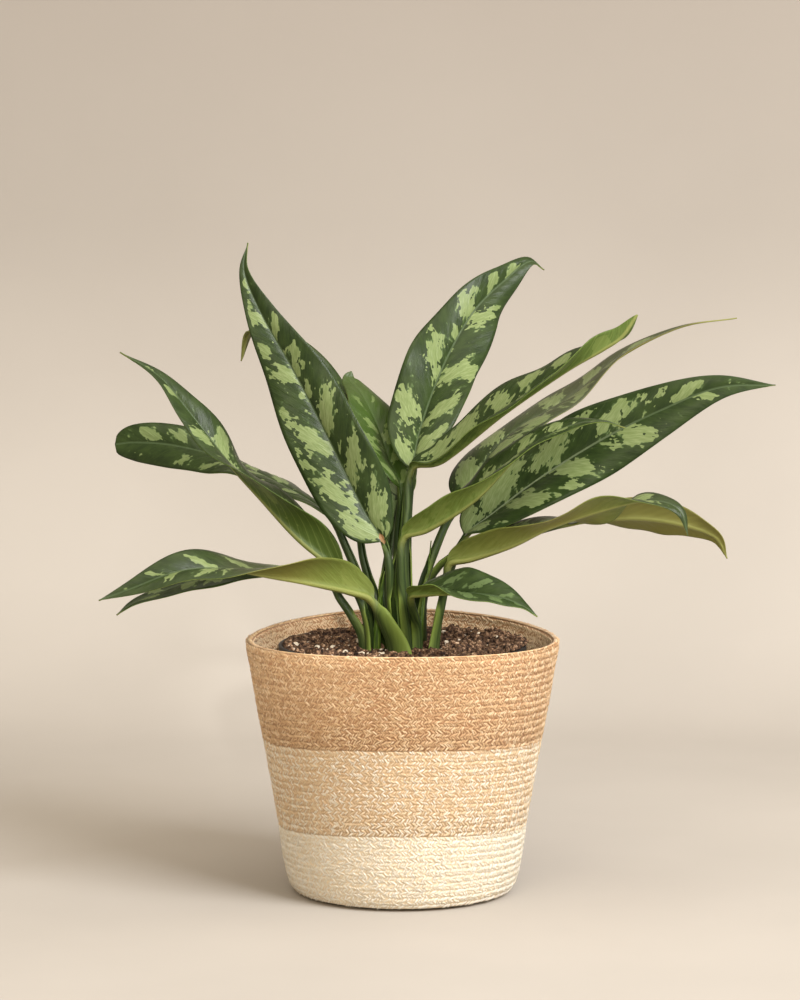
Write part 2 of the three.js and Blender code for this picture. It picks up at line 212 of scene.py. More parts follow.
def to_object(name, shape, looks=()):
    """Turns a bmesh into an object. One that is given looks takes them and is shaded smooth."""
    made = bpy.data.objects.new(name, to_mesh(name, shape))
    bpy.context.scene.collection.objects.link(made)
    for look in looks:
        made.data.materials.append(look.material)
    if looks:
        made.data.polygons.foreach_set("use_smooth", [True] * len(made.data.polygons))
    return made


def piece(name, shape, looks, replaced=()):
    """Turns a bmesh into a finished piece of the object."""
    made = to_object(name, shape, looks)
    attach(made, "root")
    if replaced:
        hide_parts(*replaced)
    print(name, "faces:", len(made.data.polygons))
    return made


def stamp(body, mesh, moved):
    """Adds a moved copy of a mesh to a bmesh."""
    mesh.transform(moved)
    body.from_mesh(mesh)
    mesh.transform(moved.inverted())


# %% [markdown]
# The stage is covered in matt pale paper. Faint linen-like mottling keeps it from looking computed,
# and its colour is painted a little darker with height, as painted shade for the light that falls off
# up the wall. From behind it is clear, so that the object can be looked at from all round.

# %% Backdrop paper
PAPER = ((0.3, srgb(175, 170, 163)), (0.7, srgb(182, 177, 170)))
# Painted shade: the darker colour that the paper takes high up the wall.
PAPER_SHADE_ABOVE = srgb(144, 136, 128)


def paper():
    """Matt pale paper, with painted shade that darkens it up the wall, and clear from behind."""
    look = Look("backdrop_paper", 0.95, Specular_IOR_Level=0.1)
    where = look.object_place()
    tone = look.ramp(look.noise(where, 3.0, 4.0), PAPER)
    # Painted shade: the paper's colour darkens with height, for the light falling off up the wall.
    shade_by_height = look.cut(look.parts(where)[2], 0.1, 0.95)
    look.paint(look.blend(shade_by_height, tone, PAPER_SHADE_ABOVE))
    behind = look.add("NewGeometry").outputs["Backfacing"]
    look.mix_in(look.add("BsdfTransparent"), behind)
    return look


PAPER_LOOK = paper()
print("nodes in the paper:", len(PAPER_LOOK.tree.nodes))

# %% [markdown]
# The backdrop is one sweep: a floor that curves up into a wall, so that no horizon line shows. A
# floor and a wall with a bevel between them would do as well, but a line of a few vertices, extruded
# sideways, is less work.

# %% Backdrop
SWEEP_WIDTH = 8.0
SWEEP_FRONT = -6
SWEEP_DEPTH = 0.6
SWEEP_RADIUS = 0.42
SWEEP_STEPS = 16
SWEEP_HEIGHT = 3.0


def sweep_profile():
    """Points up the left edge of the sweep, from in front of the camera to the top of the wall."""
    points = [Vector((0, SWEEP_FRONT, 0)), Vector((0, SWEEP_DEPTH, 0))]
    for step in range(1, SWEEP_STEPS + 1):
        turn = math.pi / 2 * step / SWEEP_STEPS
        y = SWEEP_DEPTH + SWEEP_RADIUS * math.sin(turn)
        points.append(Vector((0, y, SWEEP_RADIUS * (1 - math.cos(turn)))))
    points.append(points[-1] + Vector((0, 0, SWEEP_HEIGHT)))
    return [point - Vector((SWEEP_WIDTH / 2, 0, 0)) for point in points]


sweep = bmesh.new()
line = [sweep.verts.new(point) for point in sweep_profile()]
edges = [sweep.edges.new(pair) for pair in zip(line, line[1:])]
sides = bmesh.ops.extrude_edge_only(sweep, edges=edges)
moved = [v for v in sides["geom"] if isinstance(v, bmesh.types.BMVert)]
bmesh.ops.translate(sweep, verts=moved, vec=(SWEEP_WIDTH, 0, 0))
bmesh.ops.recalc_face_normals(sweep, faces=sweep.faces[:])
bmesh.ops.reverse_faces(sweep, faces=sweep.faces[:])
backdrop = to_object("backdrop", sweep, [PAPER_LOOK])
print("backdrop rises behind the object at y =", SWEEP_DEPTH)

# %% [markdown]
# A wide floor carries on below the sweep, a hair lower, so that the object also stands on something
# when it is looked at from behind.

# %% Wide floor
FLOOR_SIZE = 14.0
FLOOR_STEP = 0.002

ground_plane = bmesh.new()
bmesh.ops.create_grid(ground_plane, x_segments=1, y_segments=1, size=FLOOR_SIZE / 2)
bmesh.ops.translate(ground_plane, verts=ground_plane.verts, vec=(0, 0, -FLOOR_STEP))
wide_floor = to_object("wide_floor", ground_plane, [PAPER_LOOK])
print("wide floor:", FLOOR_SIZE, "m")

# %% [markdown]
# Soft studio light comes from a large box at the front right, a third of the way up, which throws
# the basket's broad shadow to the back left. A weak fill from the left and a pale surround open up
# the shadows, and three narrow beams from beside the camera reach under the leaves, to the soil and
# to the inner wall on either side.

# %% Lights
# Softboxes: name, place, target, side in metres, power, colour
SOFTBOXES = (
    ("key", (1.95, -1.95, 2.2), (0, 0, 0.2), 1.8, 156, (0.985, 0.985, 1.0)),
    ("top", (0.1, -0.3, 2.3), (0, 0, 0.2), 2.0, 23, (1.0, 0.91, 0.78)),
    ("fill", (-0.7, -2.7, 1.5), (0, 0, 0.25), 1.6, 26, (1.0, 0.9, 0.74)),
)
# Beams from one stand: name, target, spread in degrees, power
BEAMS = (
    ("snoot", (-0.01, 0.08, 0.2), 6.0, 62),
    ("snoot_left", (-0.082, 0.04, 0.163), 2.6, 200),
    ("snoot_right", (0.08, 0.06, 0.165), 2.6, 95),
)
BEAM_STAND = (0.1, -2.4, 0.72)
BEAM_COLOUR = (1.0, 0.97, 0.92)
BEAM_LAMP = 0.05
SURROUND = {"Color": (1.0, 0.84, 0.65, 1), "Strength": 0.63}


def lamp(name, kind, place, target, power, colour):
    light = bpy.data.lights.new(name, kind)
    light.energy = power
    light.color = colour
    stand(name, light, place, target)
    return light


for name, place, target, side, power, colour in SOFTBOXES:
    box = lamp(name, "AREA", place, target, power, colour)
    box.size = side
for name, target, spread, power in BEAMS:
    beam = lamp(name, "SPOT", BEAM_STAND, target, power, BEAM_COLOUR)
    beam.spot_size = math.radians(spread)
    beam.spot_blend = 1.0
    beam.shadow_soft_size = BEAM_LAMP
world = bpy.data.worlds.new("surround")
bpy.context.scene.world = world
world.use_nodes = True
for socket, value in SURROUND.items():
    world.node_tree.nodes["Background"].inputs[socket].default_value = value
print("lamps:", len(SOFTBOXES) + len(BEAMS))

# %% [markdown]
# The basket is a long braid, sewn to itself row over row. Its outline is a short list of heights
# and radii, read the same way as in the construction: a rounded foot, then nearly straight sides
# that widen to the rim. The sides sag a little between front and back, so the rows run in a saddle.

# %% Basket outline
# Heights and radii of the outside, in mm
BASKET_OUTSIDE = [
    (0, 71), (2.5, 75.5), (8, 78.6), (16, 80.6), (25, 82.4), (34, 83.6), (50, 85.4),
    (78, 90.2), (106, 95.2), (134, 100.6), (158, 104.4), (172, 107.2), (179, 107.6),
]
BASKET_HEIGHT = 179
BASKET_WALL = 5
BASKET_FLOOR = 5
CREAM_TOP = 50.4
MIXED_TOP = 110.4
BAND_GAP = 0.2
ROW_PITCH = 4.8
SADDLE = 3
FRONT_SLACK = 3.2
SLACK_FROM = 128


def between(table, place):
    """The value at a place, read in a straight line between the rows of a table."""
    for (low, first), (high, second) in zip(table, table[1:]):
        if place <= high:
            return first + (second - first) * (place - low) / (high - low)
    return table[-1][1]


def outside_radius(z):
    return between(BASKET_OUTSIDE, z)


def held(value):
    """The value, kept between 0 and 1."""
    return min(max(value, 0), 1)


def soft_step(low, high, value):
    """Goes smoothly from 0 to 1 as value goes from low to high."""
    t = held((value - low) / (high - low))
    return t * t * (3 - 2 * t)


def dip(turn, z):
    """How far the braid hangs, in mm, at a turn round the basket: a saddle, and a slack front edge."""
    grow = held((z - BASKET_FLOOR) / (CREAM_TOP - BASKET_FLOOR))
    slack = soft_step(SLACK_FROM, BASKET_HEIGHT, z) * max(0, -math.sin(turn)) ** 2
    return SADDLE * grow * math.cos(2 * turn) + FRONT_SLACK * slack


def compass(turn, radius=1, height=0):
    """The point at a turn round the axis, at a radius and a height."""
    return Vector((radius * math.cos(turn), radius * math.sin(turn), height))


def on_basket(turn, z, depth):
    """A point on the basket at a turn round it, at a height, that deep in from its outside."""
    return compass(turn, outside_radius(z) - depth, z - dip(turn, z)) * MM


print("basket rim:", 2 * outside_radius(BASKET_HEIGHT), "mm across")

# %% [markdown]
# Seen close, the basket is one flat braid of yarn, wound round and sewn to itself. It could be a
# smooth wall with a braid in its bump map, but the rim and the sides would then have smooth edges.
# So every visible crossing of the yarn is its own small grain: a few-sided ellipsoid, laid on a plain
# backing wall. There are many thousands of them, so a grain has a dozen faces at most. It remembers
# its own coordinates, because its fibres run along it wherever it lies.

# %% A grain of yarn


def grain_template():
    """One lump of yarn, 1 long, 1 wide and 1 thick, as a mesh that remembers its own coordinates."""
    lump = bmesh.new()
    bmesh.ops.create_uvsphere(lump, u_segments=3, v_segments=3, radius=0.6)
    bmesh.ops.rotate(lump, verts=lump.verts, matrix=Matrix.Rotation(-math.pi / 2, 3, "Y"))
    mesh = to_mesh("grain", lump)
    lie = mesh.attributes.new("lie", "FLOAT_VECTOR", "POINT")
    for vert, value in zip(mesh.vertices, lie.data):
        value.vector = vert.co
    mesh.attributes.new("tint", "FLOAT", "POINT")
    return mesh


GRAIN = grain_template()


def lay_grain(braid, place, size, slant, dive, tint):
    """Adds one grain. place is its centre with the directions round, up and out of the wall."""
    centre, around, up, out = place
    turn = Matrix.Rotation(math.radians(slant), 3, "Z") @ Matrix.Rotation(math.radians(dive), 3, "Y")
    lie = Matrix((around, up, out)).transposed() @ turn @ Matrix.Diagonal(Vector(size) * MM)
    GRAIN.attributes["tint"].data.foreach_set("value", [tint] * len(GRAIN.vertices))
    stamp(braid, GRAIN, Matrix.Translation(centre) @ lie.to_4x4())


print("faces of a grain:", len(GRAIN.polygons))

# %% [markdown]
# A grain lies on the wall like a leaf on a hill: it needs a point, and the directions round the
# basket, up it and out of it. They are found from three near points of the outline, so they follow
# the saddle by themselves. Inside the mouth the grains face the other way.

# %% Places on the wall


def wall_place(turn, z, depth, facing=1):
    """Centre and directions for a grain on the outside of the wall, or on its inside for facing -1."""
    here = on_basket(turn, z, depth)
    around = (on_basket(turn + 0.01, z, depth) - here).normalized() * facing
    up = (on_basket(turn, z + 0.5, depth) - here).normalized()
    return here, around, up, around.cross(up).normalized()


print("out of the wall at the front:", wall_place(-math.pi / 2, BASKET_HEIGHT / 2, 0)[3])

# %% [markdown]
# A row of the braid is two half rows of grains that slant toward each other, like an ear of corn.
# Every grain keeps its own length, tint and lie, from a seeded draw, so that no two rows are the same
# and yet every run gives the same basket.

# %% Rows of braid
GRAIN_PITCH = 1.75
# Length, width and thickness in mm, and the shares of them between which a grain is drawn
GRAIN_SIZE = (3.5, 1.15, 0.9)
GRAIN_SHARES = ((0.65, 1.4), (0.85, 1.15), (0.85, 1.15))
GRAIN_SLANT = 48
GRAIN_DIVE = 4
# How far a grain may stray: round the row as a share of the pitch, out and up in mm, turned in degrees
GRAIN_STRAY = {"round": 0.22, "out": 0.25, "up": 0.6, "slant": 16, "dive": 5}
YARN_DEPTH = 0.1


def grains_round(radius):
    """How many grains go round a half row of that radius."""
    return round(2 * math.pi * radius / GRAIN_PITCH)


def any_tint(k, draw):
    return draw.random()


def wind_row(braid, z, depth, draw, facing, tint):
    """One row of braid round the basket: two half rows of grains that slant toward each other. tint
    gives the tint of the grain with the number k."""
    def stray(way):
        return draw.uniform(-GRAIN_STRAY[way], GRAIN_STRAY[way])

    for half in (-1, 1):
        height = z + half * ROW_PITCH / 4
        count = grains_round(outside_radius(height) - depth)
        start = draw.random()
        for k in range(count):
            turn = 2 * math.pi * (k + start + stray("round")) / count
            deep = depth + facing * stray("out")
            place = wall_place(turn, height + stray("up"), deep, facing)
            size = [full * draw.uniform(*shares) for full, shares in zip(GRAIN_SIZE, GRAIN_SHARES)]
            slant = -half * (GRAIN_SLANT + stray("slant"))
            lay_grain(braid, place, size, slant, GRAIN_DIVE + stray("dive"), tint(k, draw))


def wind_band(braid, bottom, top, draw, depth=YARN_DEPTH, facing=1, tint=any_tint):
    """Rows of braid from one height up to another."""
    rows = round((top - bottom) / ROW_PITCH)
    for row in range(rows):
        wind_row(braid, bottom + (row + 0.5) * (top - bottom) / rows, depth, draw, facing, tint)
    return rows


print("grains in a half row at the rim:", grains_round(outside_radius(BASKET_HEIGHT)))

# %% [markdown]
# Behind the grains stands the wall itself. Its cross-section is drawn once, as a line of points, and
# spun round the basket's axis; the saddle of the rim is then put in by moving the points.

# %% Basket walls
WALL_TURNS = 96
BACKING_DEPTH = 0.4


def spin_profile(profile, turns, shape=None):
    """Spins a closed line of (height, radius) points, in mm, into a closed turned body."""
    body = bmesh.new()
    corners = [body.verts.new((radius * MM, 0, z * MM)) for z, radius in profile]
    pairs = zip(corners, corners[1:] + corners[:1])
    edges = [body.edges.new(pair) for pair in pairs if pair[0].co.x + pair[1].co.x > 0]
    bmesh.ops.spin(body, geom=corners + edges, cent=(0, 0, 0), axis=(0, 0, 1), angle=2 * math.pi,
                   steps=turns, use_merge=True)
    bmesh.ops.remove_doubles(body, verts=body.verts, dist=1e-6)
    bmesh.ops.recalc_face_normals(body, faces=body.faces[:])
    if shape:
        for vert in body.verts:
            vert.co = shape(vert.co)
    return body


def sag(point):
    """Lets a point in metres hang as the braid does."""
    return point - Vector((0, 0, dip(math.atan2(point.y, point.x), point.z / MM) * MM))


def wall_line(bottom, top, depth):
    """Points up the wall's cross-section, that deep in from its outside."""
    heights = [bottom] + [z for z, _ in BASKET_OUTSIDE if bottom < z < top] + [top]
    return [(z, outside_radius(z) - depth) for z in heights]


def wall_ring(bottom, top):
    """Cross-section of a plain ring of wall."""
    inner = wall_line(bottom, top, BASKET_WALL - BACKING_DEPTH)
    return wall_line(bottom, top, BACKING_DEPTH) + inner[::-1]


print("the wall behind the grains is", BASKET_WALL - 2 * BACKING_DEPTH, "mm thick")

# %% [markdown]
# Jute yarn is matt, with long fibres that catch the light along each grain. Its colour wanders from
# grain to grain. The middle band is braided from both yarns, so there a grain is either tan or cream.
# The fibres are noise that is stretched along the grain, on the grain's own remembered coordinates.

# %% Yarn materials
YARN_SHEEN = {"Specular_IOR_Level": 0.2, "Sheen_Weight": 0.12, "Sheen_Roughness": 0.5}
ACROSS_FIBRES = 9.0
ALONG_FIBRES = 1.5


def yarn(name, colours, gap_shade, fibre):
    """Yarn whose grains take their colour by their tint. The third colour is the backing's, which has no
    tint: it is painted darker than the yarn, as painted shade between the grains. fibre says how much
    darker the yarn is between its fibres."""
    look = Look(name, 0.82, **YARN_SHEEN)
    along, across, out = look.parts(look.attribute("lie", "Vector"))
    tint = look.attribute("tint")
    own_place = look.plus(look.times(along, ALONG_FIBRES), look.times(tint, 60.0))
    stretched = look.vector(look.times(out, ACROSS_FIBRES), look.times(across, ACROSS_FIBRES), own_place)
    fibres = look.noise(stretched, 1.0, 2.0)
    shade = look.ramp(fibres, [(0.3, (1 - fibre, 1 - fibre, 1 - fibre, 1)), (0.6, (1, 1, 1, 1))])
    colour = look.blend(1.0, look.ramp(tint, colours), shade, "MULTIPLY")
    # Painted shade: the backing between the grains takes the darker colour given for it.
    look.paint(look.blend(look.cut(tint, 0.0, 0.001), gap_shade, colour))
    look.bump(fibres, 0.0002)
    return look


# Each yarn's last colour is its backing, painted darker as painted shade between the grains.
TAN_YARN = yarn("tan_jute", [
    (0.0, srgb(206, 164, 122)), (0.35, srgb(220, 182, 138)),
    (0.7, srgb(232, 198, 154)), (1.0, srgb(246, 221, 184)),
], srgb(184, 142, 104), 0.18)
MIXED_YARN = yarn("mixed_braid", [
    (0.0, srgb(234, 204, 164)), (0.42, srgb(246, 224, 188)),
    (0.5, srgb(250, 236, 212)), (1.0, srgb(255, 246, 230)),
], srgb(218, 188, 150), 0.14)
CREAM_YARN = yarn("cream_cotton", [
    (0.0, srgb(246, 234, 210)), (0.5, srgb(252, 244, 226)), (1.0, srgb(255, 250, 238)),
], srgb(238, 220, 190), 0.12)
print("yarns:", TAN_YARN.material.name, MIXED_YARN.material.name, CREAM_YARN.material.name)

# %% [markdown]
# The tan band carries the rim. Its last row is laid over the edge, and inside the mouth the same
# braid runs down to where the pot hides it. There its grains take only the pale end of the yarn's
# colours, as painted light on the inner wall, which the lamps leave in shade.

# %% Tan band
INSIDE_DEPTH = BASKET_WALL - 0.3
INSIDE_TO = 152
RIM_DEPTH = 2.4
RIM_PITCH = 1.3
RIM_GROWTH = (2.1, 1.7, 1.7)
RIM_SLANT = 20


def inside_painted_light_tint(k, draw):
    """The tint of the yarn inside the mouth: only the pale end of the ramp, as painted light on the
    inner wall, which the lamps leave in shade.
    """
    return draw.uniform(0.8, 1)


draw = random.Random(11)
tan = spin_profile(wall_ring(MIXED_TOP + BAND_GAP, BASKET_HEIGHT - 2), WALL_TURNS, sag)
wind_band(tan, MIXED_TOP + BAND_GAP, BASKET_HEIGHT - 1.2, draw)
# Painted light: the rows inside the mouth take paler tints than the outside.
inside_rows = wind_band(tan, INSIDE_TO, BASKET_HEIGHT - 2.2, draw, INSIDE_DEPTH, -1, inside_painted_light_tint)
rim_count = round(2 * math.pi * (outside_radius(BASKET_HEIGHT) - RIM_DEPTH) / GRAIN_PITCH / RIM_PITCH)
rim_size = [full * growth for full, growth in zip(GRAIN_SIZE, RIM_GROWTH)]
for k in range(rim_count):
    turn = 2 * math.pi * (k + draw.uniform(-0.15, 0.15)) / rim_count
    centre, around, up, out = wall_place(turn, BASKET_HEIGHT - 1.0, RIM_DEPTH)
    slant = RIM_SLANT + draw.uniform(-6, 6)
    lay_grain(tan, (centre, around, -out, up), rim_size, slant, GRAIN_DIVE, draw.random())
print("rows inside the mouth:", inside_rows)
piece("braid_tan_band", tan, [TAN_YARN], ["basket_tan_band"])

# %% [markdown]
# In the mixed band one strand of the three is cream. It turns up at every third grain, but now and
# then the strands change places, so the flecks don't line up.

# %% Mixed band
STRANDS = 3
CHANGING_PLACES = 0.22


def strand_tint(k, draw):
    """The mixed yarn's tint of grain k: above 0.5 for the cream strand, below it for the tan ones."""
    cream = (k % STRANDS == 0) != (draw.random() < CHANGING_PLACES)
    return draw.uniform(0.52, 1) if cream else draw.uniform(0.01, 0.42)


draw = random.Random(12)
mixed = spin_profile(wall_ring(CREAM_TOP + BAND_GAP, MIXED_TOP - BAND_GAP), WALL_TURNS, sag)
wind_band(mixed, CREAM_TOP + BAND_GAP, MIXED_TOP - BAND_GAP, draw, tint=strand_tint)
piece("braid_mixed_band", mixed, [MIXED_YARN], ["basket_mixed_band"])

# %% [markdown]
# The cream band closes the basket below. Its backing wall therefore turns in at the foot and runs to
# the middle, in one closed body.

# %% Cream band
FLOOR_ROW_DEPTH = 1.1  # how far the floor's backing is above the ground
FOOT_TOP = 2.5
FLOOR_CORNER = 8

draw = random.Random(13)
edge = CREAM_TOP - BAND_GAP
foot = [(FLOOR_ROW_DEPTH, 0), (FLOOR_ROW_DEPTH, outside_radius(0) - 1)]
side = wall_line(FOOT_TOP, edge, BACKING_DEPTH)
back = wall_line(BASKET_FLOOR + FLOOR_CORNER, edge, BASKET_WALL - BACKING_DEPTH)
bottom = [(BASKET_FLOOR, outside_radius(BASKET_FLOOR) - BASKET_WALL - 5), (BASKET_FLOOR, 0)]
cream = spin_profile(foot + side + back[::-1] + bottom, WALL_TURNS, sag)
wind_band(cream, FOOT_TOP + 0.1, edge, draw)
print("faces before its floor is braided:", len(cream.faces))

# %% [markdown]
# The floor of the basket is the start of the spiral: flat rows of the same braid that wind out from
# the middle. They are pressed flat, so that the basket stands level.

# %% Basket floor
floor_rows = int(outside_radius(0) / ROW_PITCH)
floor_size = (GRAIN_SIZE[0], GRAIN_SIZE[1], 2 * FLOOR_ROW_DEPTH)
for row in range(floor_rows):
    for half in (-1, 1):
        radius = (row + 0.5) * ROW_PITCH + half * ROW_PITCH / 4
        count = max(5, grains_round(radius))
        for k in range(count):
            turn = 2 * math.pi * (k + 0.5 * row) / count
            centre = compass(turn, radius, FLOOR_ROW_DEPTH) * MM
            outward = compass(turn)
            around = Vector((-math.sin(turn), math.cos(turn), 0))
            place = (centre, around, outward, around.cross(outward))
            lay_grain(cream, place, floor_size, half * GRAIN_SLANT, 0, draw.random())
for vert in cream.verts:
    vert.co.z = max(vert.co.z, 0)
print("rows across the floor:", floor_rows)
piece("braid_cream_band", cream, [CREAM_YARN], ["basket_cream_band"])
bpy.data.meshes.remove(GRAIN)

# %% [markdown]
# The growing pot is one thin moulded wall. Hardly more than its rim shows, as a dark line between the
# soil and the basket, but it is made whole: its cross-section is drawn as one line and spun.

# %% Nursery pot
POT_TOP = 172
POT_RIM_RADIUS = 85.4
POT_NECK_RADIUS = 82
POT_BASE_RADIUS = 61
POT_WALL = 1.5
POT_LIP = 7
POT_TURNS = 128


def pot_section(floor, neck):
    """The pot's cross-section in mm, out along its underside, up to the lip and back down inside."""
    ledge = floor + 2
    return [
        (ledge, 0), (ledge, POT_BASE_RADIUS - 12), (floor, POT_BASE_RADIUS - 9),
        (floor, POT_BASE_RADIUS - 2), (ledge, POT_BASE_RADIUS), (neck, POT_NECK_RADIUS),
        (neck, POT_RIM_RADIUS), (POT_TOP - 0.6, POT_RIM_RADIUS), (POT_TOP, POT_RIM_RADIUS - 0.8),
        (POT_TOP, POT_RIM_RADIUS - 2.2), (POT_TOP - 1, POT_RIM_RADIUS - 2.8),
        (neck + 1.5, POT_NECK_RADIUS - POT_WALL + 0.4), (neck - 2, POT_NECK_RADIUS - POT_WALL - 0.3),
        (floor + 4, POT_BASE_RADIUS - POT_WALL), (ledge + POT_WALL, POT_BASE_RADIUS - POT_WALL - 2),
        (ledge + POT_WALL, 0),
    ]


PLASTIC = Look("black_plastic", 0.5, Specular_IOR_Level=0.35)
grime = PLASTIC.noise(PLASTIC.object_place(), 60.0, 4.0)
PLASTIC.paint(PLASTIC.ramp(grime, [(0.35, srgb(20, 20, 21)), (0.75, srgb(40, 38, 36))]))
PLASTIC.bump(grime, 0.0001)

pot_floor = BASKET_FLOOR + 0.3
pot_body = spin_profile(pot_section(pot_floor, POT_TOP - POT_LIP), POT_TURNS)
pot = piece("pot_wall", pot_body, [PLASTIC], ["nursery_pot"])

# %% [markdown]
# Water leaves the pot by four holes in its floor. A Boolean modifier cuts them with four cylinders
# and is then applied, which is less work than joining the rings of a hole into the floor by hand.

# %% Drain holes
DRAIN_HOLE = {"radius": 5, "ring": 40, "count": 4, "sides": 32, "drill": 0.04}


def drills():
    """One cylinder for each drain hole."""
    shape = bmesh.new()
    radius = DRAIN_HOLE["radius"] * MM
    for k in range(DRAIN_HOLE["count"]):
        turn = 2 * math.pi * (k + 0.5) / DRAIN_HOLE["count"]
        spot = Matrix.Translation(compass(turn) * DRAIN_HOLE["ring"] * MM)
        bmesh.ops.create_cone(shape, cap_ends=True, segments=DRAIN_HOLE["sides"], radius1=radius,
                              radius2=radius, depth=DRAIN_HOLE["drill"], matrix=spot)
    return shape


drill = to_object("drills", drills())
cutting = pot.modifiers.new("drain_holes", "BOOLEAN")
cutting.operation = "DIFFERENCE"
cutting.object = drill
drilled = bpy.data.meshes.new_from_object(pot.evaluated_get(bpy.context.evaluated_depsgraph_get()))
pot.modifiers.clear()
pot.data = drilled
bpy.data.objects.remove(drill)
print("pot faces after drilling:", len(pot.data.polygons))

# %% [markdown]
# The soil is a body that fills the pot, with a lumpy top. It is spun from many rings, and its top is
# then pushed up and down by noise in three widths. It could be lumpy in its bump map only, but its
# edge against the pot would then be a clean circle.

# %% Soil body
SOIL_TOP = 167.5
SOIL_RADIUS = 82.6
SOIL_RINGS = 44
SOIL_TURNS = 120
SOIL_EDGE_RISE = 5.0
# Unevenness of the surface: width of its waves in mm, place in the noise, height in mm
SOIL_WAVES = ((22, 3, 1.7), (6, 8, 1.1), (2.3, 5, 0.6))


def soil_height(x, y):
    """Height of the soil's surface in mm above a point in mm."""
    edge = math.hypot(x, y) / SOIL_RADIUS
    height = SOIL_TOP + 1.5 * (1 - edge) + SOIL_EDGE_RISE * held((edge - 0.7) / 0.3) ** 1.6
    for width, level, rise in SOIL_WAVES:
        height += rise * noise.noise(Vector((x / width, y / width, level)))
    return height


def soil_body():
    bottom = pot_floor + 4.2
    section = [(bottom, 0), (bottom, POT_BASE_RADIUS - 5), (bottom + 4, POT_BASE_RADIUS - 3)]
    section += [(150, 77.2), (163, 79.6)]
    section += [(SOIL_TOP, SOIL_RADIUS * ring / SOIL_RINGS) for ring in range(SOIL_RINGS, -1, -1)]
    body = spin_profile(section, SOIL_TURNS)
    for vert in body.verts:
        if vert.co.z > (SOIL_TOP - 1) * MM:
            vert.co.z = soil_height(vert.co.x / MM, vert.co.y / MM) * MM
    return body


print("soil in the middle is", round(soil_height(0, 0), 1), "mm up")

# %% [markdown]
# Crumbs, clods, perlite and bark are separate small lumps. Each kind has a few templates: ball shapes
# that noise has pushed in and out, the more so the rougher they are. Hundreds of copies use them, so
# they have few faces.

# %% Lumps
# Kinds: subdivisions, roughness, seeds
LUMPS = {
    "crumb": (1, 0.7, range(5)),
    "clod": (2, 1.2, range(20, 26)),
    "pearl": (2, 0.45, range(5, 9)),
    "scrap": (2, 0.9, range(9, 13)),
}


def lump_mesh(name, subdivisions, roughness, seed):
    """An uneven pebble of about radius 1."""
    lump = bmesh.new()
    bmesh.ops.create_icosphere(lump, subdivisions=subdivisions, radius=1)
    for vert in lump.verts:
        vert.co *= 1 + roughness * noise.noise(vert.co * 1.7 + Vector((seed, 0, 0)))
    return to_mesh(name, lump)


templates = {
    name: [lump_mesh(name, subdivisions, roughness, seed) for seed in seeds]
    for name, (subdivisions, roughness, seeds) in LUMPS.items()
}
print("faces:", {name: len(shapes[0].polygons) for name, shapes in templates.items()})

# %% [markdown]
# Peat, perlite and bark differ in colour and in the size of their grain, but each is matt and uneven.
# So one function makes all three: noise picks the colour from a ramp and also roughens the surface.

# %% Soil materials


def rough_surface(name, colours, scale, depth, roughness):
    """A matt natural surface whose colour runs through the stops with noise of that scale."""
    look = Look(name, roughness, Specular_IOR_Level=0.25)
    cells = look.noise(look.object_place(), scale, 4.0, 0.7)
    look.paint(look.ramp(cells, colours))
    look.bump(cells, depth)
    return look


PEAT = rough_surface("peat", [
    (0.38, srgb(30, 21, 16)), (0.5, srgb(80, 58, 43)),
    (0.6, srgb(142, 111, 85)), (0.7, srgb(208, 182, 152)),
], 300.0, 0.0008, 0.92)
PERLITE = rough_surface("perlite", [
    (0.3, srgb(196, 180, 158)), (0.6, srgb(228, 216, 196)),
], 500.0, 0.0003, 0.8)
BARK = rough_surface("bark", [
    (0.35, srgb(92, 64, 44)), (0.65, srgb(164, 132, 98)),
], 300.0, 0.0004, 0.85)
print("soil materials:", [look.material.name for look in (PEAT, PERLITE, BARK)])

# %% [markdown]
# The lumps are scattered by a seeded draw, flattened a little and sunk into the soil, as they settle
# when it is watered. On the right some soil was heaped over the pot's rim.

# %% Scattering


def anywhere(draw):
    """A place on the soil, in mm."""
    radius = (SOIL_RADIUS - 3) * math.sqrt(draw.random())
    return compass(draw.uniform(0, 2 * math.pi), radius)


def over_the_rim(draw):
    """A place near the pot's rim on the right, where the soil was heaped over it."""
    radius = draw.uniform(79, 85)
    return compass(draw.gauss(0.1, 0.35), radius)


def drop_lumps(body, templates, count, sizes, flat, sink, where, draw):
    """Scatters copies of the templates, with sizes in mm between two limits, flattened and sunk in."""
    for _ in range(count):
        x, y, _ = where(draw)
        size = sizes[0] + (sizes[1] - sizes[0]) * draw.random() ** 2.5
        tilt = Matrix.Rotation(draw.uniform(-0.5, 0.5), 4, "X")
        tilt = tilt @ Matrix.Rotation(draw.uniform(0, 6.28), 4, "Z")
        scale = Matrix.Diagonal((size, size * draw.uniform(0.6, 1), size * flat, 1))
        spot = Matrix.Translation(Vector((x, y, soil_height(x, y) + size * flat * (1 - 2 * sink))))
        stamp(body, draw.choice(templates), Matrix.Scale(MM, 4) @ spot @ tilt @ scale)


